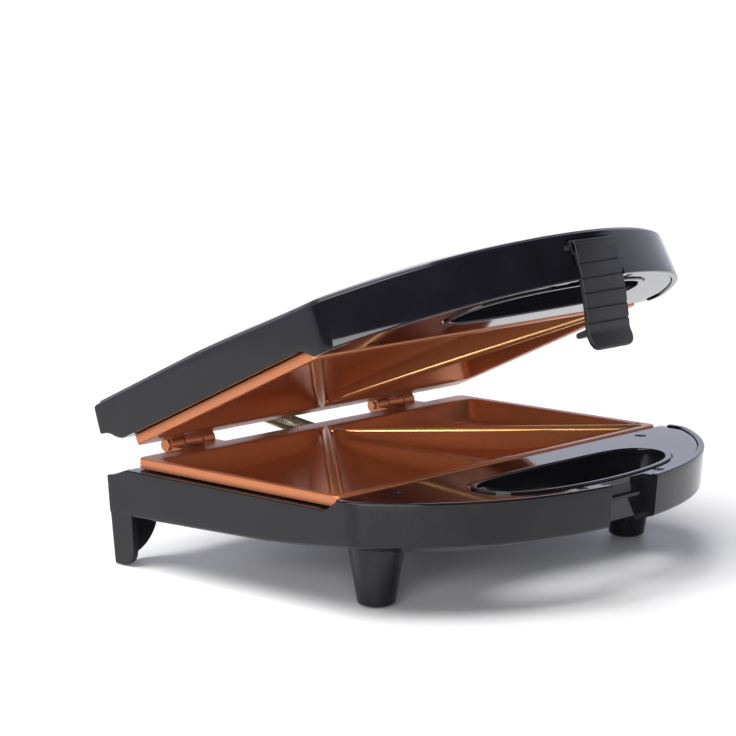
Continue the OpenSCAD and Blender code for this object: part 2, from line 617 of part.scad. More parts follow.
module thermostat() color("white") in_row() base_frame() translate([34, -62, -pocket_depth - casting_t]) {
    translate([0, 0, -4]) cylinder(r = 8, h = 4, $fn = 40);
    translate([0, 0, -6.4]) cylinder(r = 5.5, h = 2.4, $fn = 40);
    for (s = [-1, 1]) translate([s * 8.5 - 2.5, -3, -4]) cube([5, 6, 0.8]);
}
module thermal_fuse() color("white") in_row() base_frame() translate([-46, -62, -pocket_depth - casting_t - 2.6]) {
    rotate([0, 90, 0]) cylinder(r = 2.2, h = 16, center = true, $fn = 24);
    translate([-3, -4.5, -0.4]) cube([6, 9, 3]);
}

// ---------------------------------------------------------------- feet and inlet
module front_foot(s) color([0.05, 0.05, 0.055]) in_row() translate([s * foot_x, -foot_y, 0]) difference() {
    rotate_extrude($fn = 72) polygon([[0, pad_proud], [foot_d / 2 - 1.5, pad_proud],
        [foot_d / 2 - 0.45, pad_proud + 0.45], [foot_d / 2, pad_proud + 1.5],
        [foot_top_d / 2, floor_z], [0, floor_z]]);
    translate([0, 0, pad_proud - 1]) cylinder(r = foot_d / 2 - 2.5 + fit, h = 2.4, $fn = 40);
}
module foot_pads() color([0.12, 0.12, 0.12]) in_row() each_side() translate([foot_x, -foot_y, 0])
    cylinder(r = foot_d / 2 - 2.5, h = pad_proud + 1.4, $fn = 40);
module cord_inlet() color([0.08, 0.08, 0.08]) in_row() translate([inlet_xz[0], 0, inlet_xz[1]]) rotate([-90, 0, 0]) difference() {
    wall = rear_reach - draft * (rim_z - inlet_xz[1]);
    union() {
        translate([0, 0, wall - 10]) cylinder(r = inlet_body_r, h = 14, $fn = 48);
        translate([0, 0, wall + 0.8]) cylinder(r1 = inlet_body_r + 2.4, r2 = inlet_body_r + 0.6, h = 4, $fn = 48);
    }
    translate([0, 0, wall - 20]) cylinder(r = inlet_r, h = 40, $fn = 48);
}

// ---------------------------------------------------------------- wire conduit
// A close-wound steel guard runs straight from a bush in the base to the hinge axis, and from there
// straight to a bush in the lid, so that opening the lid only turns one half against the other.
conduit_base = [27, -4];                      // x of the base's bush, and its y from the hinge axis
conduit_lid = [-30, -4];
conduit_cross_x = -5;
bush_r = 4.9;
bush_h = 6;
bush_bore_r = 2.4;
function conduit_reach(end) = [end[0] - conduit_cross_x, end[1], -(end[0] - conduit_cross_x) * conduit_slope];
function opened(v, a) = [v[0], v[1] * cos(a) + v[2] * sin(a), v[2] * cos(a) - v[1] * sin(a)];
base_leg = conduit_reach(conduit_base);
lid_leg = opened(conduit_reach(conduit_lid), lid_rest_angle);
base_len = norm(base_leg);
lid_len = norm(lid_leg);
// stands a child on the bush's face with its z towards the conduit, in the frame of the closed product
module along_conduit(end) {
    v = -conduit_reach(end);
    translate([end[0], hinge_y + end[1], hinge_z + conduit_reach(end)[2]])
        rotate([0, acos(v[2] / norm(v)), atan2(v[1], v[0])]) children();
}
bend_run = 8;
function conduit_at(s) = let (
        a = -base_leg / base_len, b = lid_leg / lid_len,
        before = s < -bend_run ? s : s < bend_run ? -pow(bend_run - s, 2) / (4 * bend_run) : 0,
        after = s > bend_run ? s : s > -bend_run ? pow(bend_run + s, 2) / (4 * bend_run) : 0)
    [conduit_cross_x, hinge_y, hinge_z] + before * a + after * b;
end_run = 1.1;                                // straight run of the wire's ends
wound_from = end_run + 1.2;
turns = floor((base_len + lid_len - 2 * wound_from) / conduit_pitch);
wound_len = base_len + lid_len - 2 * wound_from;
rings_per_turn = 8;
function frame_at(s) = let (
        v = conduit_at(s + 0.05) - conduit_at(s - 0.05), w = v / norm(v),
        side = cross(w, [0, 1, 0]), u = side / norm(side))
    [u, cross(w, u), w];
function radial_at(i) = let (a = 360 * i / rings_per_turn, n = turns * rings_per_turn,
        f = frame_at(-base_len + wound_from + wound_len * i / n))
    cos(a) * f[0] + sin(a) * f[1];
function winding(i) = conduit_at(-base_len + wound_from + wound_len * i / (turns * rings_per_turn))
    + conduit_r * radial_at(i);
last_ring = turns * rings_per_turn;
base_run = -base_leg / base_len;
lid_run = lid_leg / lid_len;
conduit_path = concat(
    [winding(0) - wound_from * base_run, winding(0) - (wound_from - end_run) * base_run],
    [for (i = [0:last_ring]) winding(i)],
    [winding(last_ring) + (wound_from - end_run) * lid_run, winding(last_ring) + wound_from * lid_run]);
conduit_radials = concat([radial_at(0), radial_at(0)], [for (i = [0:last_ring]) radial_at(i)],
    [radial_at(last_ring), radial_at(last_ring)]);
// six-sided tube along a path, each ring turned to the given radial direction
module tube(path, radials, r, sides = 6) {
    n = len(path);
    skin([for (i = [0:n - 1]) let (
            v = path[min(i + 1, n - 1)] - path[max(i - 1, 0)],
            w = v / norm(v),
            s = radials[i] - (radials[i] * w) * w,
            u = s / norm(s),
            b = cross(w, u))
        [for (k = [0:sides - 1]) path[i] + r * (cos(360 * k / sides) * u + sin(360 * k / sides) * b)]]);
}
conduit_gap = min([for (i = [0:last_ring - rings_per_turn])
    norm(winding(i + rings_per_turn) - winding(i))]) - conduit_wire_d;
echo(conduit_turns = turns, conduit_gap = conduit_gap);
module wire_conduit() color("darkgray") in_row() tube(conduit_path, conduit_radials, conduit_wire_d / 2);
module bush() translate([0, 0, -bush_h]) difference() {
    cylinder(r = bush_r, h = bush_h, $fn = 48);
    translate([0, 0, -1]) cylinder(r = bush_bore_r, h = bush_h + 2, $fn = 32);
}
module conduit_socket() color([0.1, 0.1, 0.1]) in_row() along_conduit(conduit_base) bush();
module conduit_ferrule() color([0.1, 0.1, 0.1]) lid_open() along_conduit(conduit_lid) bush();

// ---------------------------------------------------------------- lid
lens_xy = [11, -112];
lens_r = 4;
lamp_panel_z = lid_wall_h + crown_h - 4.4;
pivot = [-front_reach + 3.1, lid_rim_z + 14.6];
latch_top_r = 3.4;
module lid_shell() color([0.05, 0.05, 0.055]) lid_open() lid_closed() difference() {
    lid_outer();
    difference() {
        lid_cavity();
        slot_column(60);
        screw_columns(60);
        // cheeks of the latch notch
        translate([-channel_hw - 3, -front_reach - 1, -60]) cube([2 * (channel_hw + 3), channel_depth + 6, 60]);
        // floor of the lamp panel
        translate([-30, lens_xy[1] - 12, -lamp_panel_z]) cube([60, 24, shell_t + 0.4]);
        each_side() for (xy = base_screw_xy) column(xy, plate_boss_r + 2, -60, -boss_end + 3);
        lid_closed() along_conduit(conduit_lid) translate([0, 0, -bush_h - 2])
            cylinder(r = bush_r + 2.6, h = bush_h + 10, $fn = 40);
    }
    housing_cuts(lid_deck_drop, 11.2, 60);
    // notch for the latch, closed above by the crown
    translate([-channel_hw - 0.4, -front_reach - 5, -notch_h]) cube([2 * channel_hw + 0.8, channel_depth + 5, notch_h + 5]);
    translate([0, pivot[0], lid_rim_z - pivot[1]]) rotate([0, 90, 0])
        cylinder(r = latch_pin_d / 2 + fit, h = latch_pin_len + 0.4, center = true, $fn = 32);
    // lamp panel and its two holes
    translate([0, lens_xy[1], -lamp_panel_z - 20]) linear_extrude(20) union() {
        square([2 * lens_xy[0], 2 * lens_r + 5], center = true);
        for (s = [-1, 1]) translate([s * lens_xy[0], 0]) circle(lens_r + 2.5, $fn = 40);
    }
    each_side() column(lens_xy, lens_r + 0.15, -lamp_panel_z - 1, -lamp_panel_z + 6);
    each_side() for (xy = base_screw_xy) column(xy, plate_boss_r + fit, -boss_end, 0);
    lid_closed() along_conduit(conduit_lid) {
        translate([0, 0, -bush_h]) cylinder(r = bush_r + fit, h = bush_h + 30, $fn = 40);
        translate([0, 0, -bush_h - 12]) cylinder(r = bush_bore_r, h = 14, $fn = 32);
    }
}
notch_h = 18.8;
latch_pin_len = 2 * channel_hw + 4;
module lid_cover() color([0.06, 0.06, 0.07]) lid_open() lid_closed() cover();
module lid_cover_screws() color("dimgray") lid_open() lid_closed() cover_screws();
module pilot_lens(s, c) color(c) lid_open() lid_closed() translate([s * lens_xy[0], lens_xy[1], 0]) {
    translate([0, 0, -lamp_panel_z - 1.2]) cylinder(r = lens_r, h = shell_t + 2, $fn = 40);
    translate([0, 0, -lamp_panel_z + shell_t + 0.4]) cylinder(r = lens_r + 1, h = 1, $fn = 40);
}
module latch_pin() color("silver") lid_open() translate([0, pivot[0], pivot[1]]) rotate([0, 90, 0])
    cylinder(r = latch_pin_d / 2, h = latch_pin_len, center = true, $fn = 32);

// ---------------------------------------------------------------- latch
// side profile in the closed lid's y and z: the strap leans more and more towards its hook
strap_lean = [5.5, 18.5];
strap_len = 40.5;
strap_steps = 12;
function strap_lean_at(t) = strap_lean[0] + (strap_lean[1] - strap_lean[0]) * t;
// integral of the lean along the strap, from the pivot's height down
function strap_point(t, depth) = let (
        n = 24,
        m = max(1, round(n * t)),
        ds = strap_len * t / m,
        a = [for (i = [0:m - 1]) strap_lean_at(t * (i + 0.5) / m)],
        y = ds * ([for (v = a) sin(v)] * [for (v = a) 1]),
        z = ds * ([for (v = a) cos(v)] * [for (v = a) 1]),
        lean = strap_lean_at(t))
    [pivot[0] - latch_top_r * cos(strap_lean[0]) + y + depth * cos(lean),
        pivot[1] - latch_top_r * sin(strap_lean[0]) * 0 - z + depth * sin(lean)];
module latch_profile() {
    outer = [for (i = [0:strap_steps]) strap_point(i / strap_steps, 0)];
    inner = [for (i = [strap_steps:-1:0]) strap_point(i / strap_steps, latch_t)];
    polygon(concat(outer, inner));
    translate(pivot) circle(latch_top_r, $fn = 48);
}
latch_hook_t = 2.6;
lip_len = 7;
module latch() color([0.16, 0.16, 0.17]) lid_open() difference() {
    end = strap_point(1, 0);
    union() {
        translate([-latch_w / 2, 0, 0]) rotate([90, 0, 90]) linear_extrude(latch_w) {
            latch_profile();
            // hook that reaches in under the catch wall
            translate([end[0] + 0.5, end[1] - 0.4]) {
                square([latch_t + hook_reach_in - 0.9, latch_hook_t]);
                translate([latch_t + hook_reach_in - 0.9, latch_hook_t / 2]) circle(latch_hook_t / 2, $fn = 24);
            }
        }
        // flared lip with rounded corners
        translate([0, end[0], end[1]]) rotate([-26, 0, 0]) lip_plate();
    }
    translate([0, pivot[0], pivot[1]]) rotate([0, 90, 0]) cylinder(r = latch_pin_d / 2 + fit, h = 2 * latch_w, center = true, $fn = 32);
    for (i = [1:5]) let (p = strap_point(0.03 + i * 0.165, 0), a = strap_lean_at(0.03 + i * 0.165))
        translate([0, p[0], p[1]]) rotate([a, 0, 0]) cube([latch_w + 2, 1, latch_groove_w], center = true);
}
module lip_plate() translate([0, latch_t, 1.2]) rotate([90, 0, 0]) linear_extrude(latch_t) difference() {
    translate([-latch_w / 2, -lip_len]) square([latch_w, lip_len]);
    for (s = [-1, 1]) scale([s, 1]) translate([-latch_w / 2, -lip_len]) corner_round(5);
}

base_shell();
base_cover();
base_cover_screws();
base_screws();
lower_plate();
lower_element();
lower_element_clips();
lower_reflector();
thermostat();
thermal_fuse();
front_foot(-1);  // front_foot_left
front_foot(1);  // front_foot_right
foot_pads();
cord_inlet();
conduit_socket();
wire_conduit();
hinge_pin(-1);  // hinge_pin_left
hinge_pin(1);  // hinge_pin_right
lid_shell();
lid_cover();
lid_cover_screws();
upper_plate();
upper_element();
upper_element_clips();
upper_reflector();
pilot_lens(-1, "red");  // pilot_lens_left
pilot_lens(1, "green");  // pilot_lens_right
conduit_ferrule();
latch_pin();
latch();
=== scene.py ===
"""A two-slice sandwich toaster, lid part open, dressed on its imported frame.

Sizes are millimetres. A housing is worked out in its own frame: x to the right, y = 0 at the rear
edge of the plates, z = 0 at the rim plane and z < 0 inside the housing. The closed product's frame
has z = 0 on the table. A mesh is put into the row's frame, in metres, when it is built.
"""

from __future__ import annotations

import json
import logging
import math
from dataclasses import dataclass
from enum import Enum

import bmesh
import bpy
import numpy as np
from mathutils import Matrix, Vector


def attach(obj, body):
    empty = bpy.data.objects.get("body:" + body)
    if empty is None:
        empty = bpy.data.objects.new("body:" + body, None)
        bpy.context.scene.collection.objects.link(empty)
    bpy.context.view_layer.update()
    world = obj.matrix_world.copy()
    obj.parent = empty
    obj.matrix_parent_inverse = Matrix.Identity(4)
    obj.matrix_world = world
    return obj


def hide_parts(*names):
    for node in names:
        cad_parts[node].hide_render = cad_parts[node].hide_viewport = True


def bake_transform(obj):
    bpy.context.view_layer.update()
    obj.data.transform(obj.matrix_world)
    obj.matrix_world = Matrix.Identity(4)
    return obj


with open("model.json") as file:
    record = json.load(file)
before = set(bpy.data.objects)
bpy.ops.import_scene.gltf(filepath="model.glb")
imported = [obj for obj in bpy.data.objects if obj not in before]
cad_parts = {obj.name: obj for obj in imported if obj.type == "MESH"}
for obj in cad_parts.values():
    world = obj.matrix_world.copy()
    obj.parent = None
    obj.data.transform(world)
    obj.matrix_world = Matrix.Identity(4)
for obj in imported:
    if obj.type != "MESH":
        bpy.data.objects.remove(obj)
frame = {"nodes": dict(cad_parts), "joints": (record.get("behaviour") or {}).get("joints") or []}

LOG = logging.getLogger("toaster")
MM = 0.001


# ------------------------------------------------------------------ shared sizes and frames
@dataclass(frozen=True)
class Layout:
    """Sizes that several pieces share, in millimetres."""

    lug_x: float = 70.5
    lug_step: float = 9.9
    outer_lug_w: float = 7.2
    inner_lug_w: float = 11.0
    plate_w: float = 225.0
    plate_d: float = 125.0
    band_h: float = 4.7
    side_land: float = 4.5
    rear_land: float = 11.0
    pocket_depth: float = 11.0
    rim_z: float = 50.4
    closed_gap: float = 0.6
    lid_angle: float = 24.8
    hinge_y: float = 10.4
    base_depth: float = 24.4
    floor_z: float = 26.0
    crown_h: float = 8.5
    rim_w: float = 3.0
    cover_drop: float = 0.6
    cover_t: float = 2.4
    cover_gap: float = 0.35
    channel_hw: float = 16.1
    channel_y: float = -187.5
    draft: float = math.tan(math.radians(3.4))

    @property
    def lid_rim_z(self) -> float:
        """Height of the closed lid's rim plane."""
        return self.rim_z + self.closed_gap

    @property
    def hinge_z(self) -> float:
        """Height of the hinge axis."""
        return self.rim_z + self.closed_gap / 2

    @property
    def row_shift(self) -> float:
        """Shift along y from the plates' rear edge to the row's origin."""
        hinge = next(j for j in frame["joints"] if j["name"] == "lid_hinge")
        return hinge["pos_m"][1] / MM - self.hinge_y


LAYOUT = Layout()


class Place(Enum):
    """The frame that a mesh is worked out in."""

    BASE = "base housing"
    LID = "lid housing, mirrored and opened"
    CLOSED = "closed product, stays with the base"
    CLOSED_LID = "closed product, opened with the lid"
    ROW = "row, no change"

    def mirrored(self) -> bool:
        """Tell whether this place turns a shape inside out."""
        return self is Place.LID


def opened(p: np.ndarray) -> np.ndarray:
    """Turn points of the closed product about the hinge axis to the lid's stored angle.

    Args:
        p: points of shape (..., 3).

    Returns:
        The turned points.
    """
    a = math.radians(LAYOUT.lid_angle)
    y, z = p[..., 1] - LAYOUT.hinge_y, p[..., 2] - LAYOUT.hinge_z
    turned_y = LAYOUT.hinge_y + y * math.cos(a) + z * math.sin(a)
    turned_z = LAYOUT.hinge_z + z * math.cos(a) - y * math.sin(a)
    return np.stack([p[..., 0], turned_y, turned_z], axis=-1)


def to_row(p: np.ndarray, place: Place) -> np.ndarray:
    """Carry points from a place's frame into the row's frame, in metres.

    Args:
        p: points of shape (n, 3) in millimetres.
        place: the frame that they are given in.

    Returns:
        Points in metres.
    """
    q = np.array(p, dtype=float)
    if place is Place.BASE:
        q[..., 2] += LAYOUT.rim_z
    elif place is Place.LID:
        q[..., 2] = LAYOUT.lid_rim_z - q[..., 2]
    if place in (Place.LID, Place.CLOSED_LID):
        q = opened(q)
    if place is not Place.ROW:
        q[..., 1] += LAYOUT.row_shift
    return q * MM


class Surface:
    """Patches of quads and polygons that are welded into one mesh."""

    def __init__(self) -> None:
        """Start with no patch."""
        self.points: list[np.ndarray] = []
        self.faces: list[list[int]] = []
        self.count = 0

    def add(self, points: np.ndarray, faces: list[list[int]]) -> None:
        """Take points of shape (n, 3) and faces that index them."""
        self.faces += [[i + self.count for i in f] for f in faces]
        self.points.append(points.reshape(-1, 3))
        self.count += len(self.points[-1])

    def grid(self, p: np.ndarray, wrap_rows: bool = False, wrap_cols: bool = False, flip: bool = False) -> None:
        """Add a grid of points as quads.

        The face at (r, c) runs r,c then r,c+1 then r+1,c+1 then r+1,c, so its normal is the column
        direction crossed with the row direction.

        Args:
            p: points of shape (rows, columns, 3).
            wrap_rows: the last row joins the first.
            wrap_cols: the last column joins the first.
            flip: turn the faces over.
        """
        rows, cols = p.shape[:2]
        at = np.arange(rows * cols).reshape(rows, cols)
        if wrap_rows:
            at = np.vstack([at, at[:1]])
        if wrap_cols:
            at = np.hstack([at, at[:, :1]])
        quads = np.stack([at[:-1, :-1], at[:-1, 1:], at[1:, 1:], at[1:, :-1]], axis=-1).reshape(-1, 4)
        if flip:
            quads = quads[:, ::-1]
        self.add(p, quads.tolist())

    def cap(self, loop: np.ndarray, flip: bool = False) -> None:
        """Close a loop of points of shape (n, 3) with one polygon, anticlockwise seen from outside."""
        order = list(range(len(loop)))
        self.add(loop, [order[::-1] if flip else order])

    def build(self, name: str, place: Place, smooth_deg: float = 35.0, orient: bool = True) -> bpy.types.Object:
        """Weld the patches and make the mesh object, at the origin.

        Args:
            name: the piece's name.
            place: the frame that the points are in.
            smooth_deg: edges that turn by more than this stay sharp.
            orient: set all faces outwards by the closed shell's own test.

        Returns:
            The new object.
        """
        mesh = bpy.data.meshes.new(name)
        points = to_row(np.concatenate(self.points), place)
        faces = [f[::-1] for f in self.faces] if place.mirrored() else self.faces
        mesh.from_pydata(points.tolist(), [], faces)
        bm = bmesh.new()
        bm.from_mesh(mesh)
        bmesh.ops.remove_doubles(bm, verts=bm.verts, dist=2e-7)
        bmesh.ops.dissolve_degenerate(bm, edges=bm.edges, dist=1e-8)
        if orient:
            bmesh.ops.recalc_face_normals(bm, faces=bm.faces)
        bm.to_mesh(mesh)
        bm.free()
        obj = bpy.data.objects.new(name, mesh)
        bpy.context.scene.collection.objects.link(obj)
        soften(obj, smooth_deg)
        return obj


def soften(obj: bpy.types.Object, degrees: float) -> None:
    """Shade an object smooth with sharp edges where faces turn by more than an angle."""
    obj.data.shade_smooth()
    obj.data.set_sharp_from_angle(angle=math.radians(degrees))


def apply_modifiers(obj: bpy.types.Object) -> None:
    """Replace an object's mesh by its evaluated one and drop its modifiers."""
    graph = bpy.context.evaluated_depsgraph_get()
    done = bpy.data.meshes.new_from_object(obj.evaluated_get(graph))
    obj.modifiers.clear()
    obj.data = done


def cut(obj: bpy.types.Object, cutters: list[bpy.types.Object], degrees: float = 35.0) -> None:
    """Take closed cutters out of a closed piece, and drop them.

    Args:
        obj: the piece.
        cutters: closed shapes in the same frame.
        degrees: edges that turn by more than this stay sharp afterwards.
    """
    for cutter in cutters:
        mod = obj.modifiers.new("cut", "BOOLEAN")
        mod.operation = "DIFFERENCE"
        mod.solver = "EXACT"
        mod.object = cutter
        bpy.context.view_layer.update()
        apply_modifiers(obj)
    for cutter in cutters:
        bpy.data.objects.remove(cutter)
    soften(obj, degrees)


# ------------------------------------------------------------------ plan outline of both housings
@dataclass(frozen=True)
class Outline:
    """Plan of both housings: front arc, shoulders, soft creases, straight sides, rear corners."""

    shell_w: float = 236.4
    front_reach: float = 196.0
    rear_reach: float = 15.7
    front_r: float = 174.5
    shoulder_r: float = 120.7
    shoulder_x: float = 15.9
    crease_r: float = 15.0
    corner_r: float = 2.0
    steps: tuple[int, ...] = (44, 44, 12, 46, 12, 44)

    @property
    def front_cy(self) -> float:
        """Centre of the front arc."""
        return self.front_r - self.front_reach

    @property
    def shoulder_y(self) -> float:
        """Centre of the shoulder arc, which touches the front arc from inside."""
        return self.front_cy - math.sqrt((self.front_r - self.shoulder_r) ** 2 - self.shoulder_x**2)

    def ring(self, inset: np.ndarray | float) -> np.ndarray:
        """Outline inset by a distance, with the same columns for every inset.

        A point on each arc is centre + (radius - inset) * (cos a, sin a); the crease circle of
        radius max(crease - inset, 1) touches both the side and the shoulder from inside.

        Args:
            inset: one inset or one for each row.

        Returns:
            Points of shape (rows, columns, 2), anticlockwise from the front middle.
        """
        d = np.atleast_1d(np.asarray(inset, dtype=float))[:, None]
        hw, rs = self.shell_w / 2 - d, self.shoulder_r - d
        rc, rr = np.maximum(self.crease_r - d, 1.0), np.maximum(self.corner_r - d, 1.0)
        cx = hw - rc
        cy = self.shoulder_y - np.sqrt((rs - rc) ** 2 - (cx - self.shoulder_x) ** 2)
        front_turn = math.atan2(self.shoulder_y - self.front_cy, self.shoulder_x)
        turn = np.arctan2(cy - self.shoulder_y, cx - self.shoulder_x)
        rear = self.rear_reach - d
        u = [np.linspace(0, 1, n, endpoint=False)[None, :] for n in self.steps]

        def arc(x: np.ndarray, y: np.ndarray, r: np.ndarray, a: np.ndarray) -> np.ndarray:
            """Points on a circle."""
            return np.stack([x + r * np.cos(a), y + r * np.sin(a)], axis=-1)

        zero = 0 * d
        parts = [
            arc(zero, zero + self.front_cy, self.front_r - d, -math.pi / 2 + (front_turn + math.pi / 2) * u[0]),
            arc(zero + self.shoulder_x, zero + self.shoulder_y, rs, front_turn + (turn - front_turn) * u[1]),
            arc(cx, cy, rc, turn * (1 - u[2])),
            np.stack([hw + 0 * u[3], cy + (rear - rr - cy) * u[3]], axis=-1),
            arc(hw - rr, rear - rr, rr, math.pi / 2 * u[4]),
            np.stack([(hw - rr) * (1 - u[5]), rear + 0 * u[5]], axis=-1),
        ]
        half = np.concatenate(parts, axis=1)
        middle = np.stack([zero, rear], axis=-1)
        mirror = half[:, :0:-1] * np.array([-1.0, 1.0])
        return np.concatenate([half, middle, mirror], axis=1)

    def front_distance(self, x: np.ndarray, y: np.ndarray) -> np.ndarray:
        """Distance of points inside the front arc and the shoulders, growing softly behind them."""
        ax = np.abs(x)
        arc = self.front_r - np.hypot(ax, y - self.front_cy)
        dy = np.minimum(y - self.shoulder_y, 0.0)
        back = np.maximum(y - self.shoulder_y, 0.0)
        shoulder = self.shoulder_r - np.hypot(ax - self.shoulder_x, dy) + back**2 / 40.0
        turn = math.atan2(self.shoulder_y - self.front_cy, self.shoulder_x)
        beside = np.arctan2(y - self.front_cy, ax) > turn
        return np.where(beside, shoulder, arc)

    def edge_distance(self, x: np.ndarray, y: np.ndarray) -> np.ndarray:
        """Distance of points from the nearest part of the outline, round the softened crease too."""
        ax = np.abs(x)
        cx = self.shell_w / 2 - self.crease_r
        cy = self.shoulder_y - math.sqrt((self.shoulder_r - self.crease_r) ** 2 - (cx - self.shoulder_x) ** 2)
        turn = math.atan2(cy - self.shoulder_y, cx - self.shoulder_x)
        angle = np.arctan2(y - cy, ax - cx)
        near = np.minimum(self.front_distance(x, y), self.shell_w / 2 - ax)
        near = np.where((angle > turn) & (angle < 0), self.crease_r - np.hypot(ax - cx, y - cy), near)
        return np.minimum(near, self.rear_reach - y)


OUTLINE = Outline()


@dataclass(frozen=True)
class FingerSlot:
    """Finger slot: two parabolas closed by superelliptic ends."""

    half_w: float = 60.0
    rear_y: float = -146.3
    front_y: float = -183.4
    rear_bow: float = 5e-4
    front_bow: float = 28e-4
    power: float = 8.0

    @property
    def middle_y(self) -> float:
        """Middle of the slot."""
        return (self.rear_y + self.front_y) / 2

    def loop(self, a: np.ndarray, grow: np.ndarray | float) -> np.ndarray:
        """Points of the slot's edge.

        x = (half_w + grow) cos a; y runs between the two parabolas with
        s = sign(sin a) sqrt(1 - |cos a|^power).

        Args:
            a: angles of the columns.
            grow: how far the edge is moved outwards, one value or one for each row.

        Returns:
            Points of shape (rows, columns, 2).
        """
        g = np.atleast_1d(np.asarray(grow, dtype=float))[:, None]
        x0 = self.half_w * np.cos(a)[None, :]
        s = np.sign(np.sin(a)) * np.sqrt(np.maximum(1 - np.abs(np.cos(a)) ** self.power, 0))
        rear = self.rear_y - self.rear_bow * x0**2 + g
        front = self.front_y + self.front_bow * x0**2 - g
        return np.stack([x0 + g * np.cos(a), (rear + front) / 2 + (rear - front) / 2 * s], axis=-1)

    def angles(self, ring: np.ndarray) -> np.ndarray:
        """Slot angle that belongs to each point of a loop round it, by its direction.

        Args:
            ring: points of shape (columns, 2).

        Returns:
            Angles, one a column.
        """
        dy = ring[:, 1] - self.middle_y
        reach = np.where(dy < 0, 32.0, np.max(dy))
        return np.arctan2(dy / reach, ring[:, 0] / np.max(ring[:, 0]))


SLOT = FingerSlot()


def stack_rows(rows: list[tuple[np.ndarray, np.ndarray]]) -> np.ndarray:
    """Join rows given as (points of shape (columns, 2), heights) into a grid of points."""
    return np.stack([np.column_stack([xy, np.broadcast_to(z, len(xy))]) for xy, z in rows])


def prism(name: str, profile: np.ndarray, half_w: float, place: Place) -> bpy.types.Object:
    """Closed prism of a (y, z) profile carried along x from -half_w to half_w."""
    surface = Surface()
    x = np.array([-half_w, half_w])
    p = np.stack([np.column_stack([np.full(len(profile), v), profile]) for v in x])
    surface.grid(p, wrap_cols=True)
    surface.cap(p[0])
    surface.cap(p[1], flip=True)
    return surface.build(name, place)


def rod(name: str, a: np.ndarray, b: np.ndarray, r: float, place: Place, sides: int = 48) -> bpy.types.Object:
    """Closed round rod from point a to point b."""
    w = (b - a) / np.linalg.norm(b - a)
    u = np.cross(w, [0.0, 0.0, 1.0] if abs(w[2]) < 0.9 else [1.0, 0.0, 0.0])
    u /= np.linalg.norm(u)
    t = np.linspace(0, 2 * math.pi, sides, endpoint=False)[:, None]
    ring = r * (np.cos(t) * u + np.sin(t) * np.cross(w, u))
    surface = Surface()
    p = np.stack([a + ring, b + ring])
    surface.grid(p, wrap_cols=True)
    surface.cap(p[0], flip=True)
    surface.cap(p[1])
    return surface.build(name, place)


def column(name: str, xy: tuple[float, float], r: float, z0: float, z1: float, place: Place) -> bpy.types.Object:
    """Closed upright rod, for round holes."""
    return rod(name, np.array([*xy, z0]), np.array([*xy, z1]), r, place)


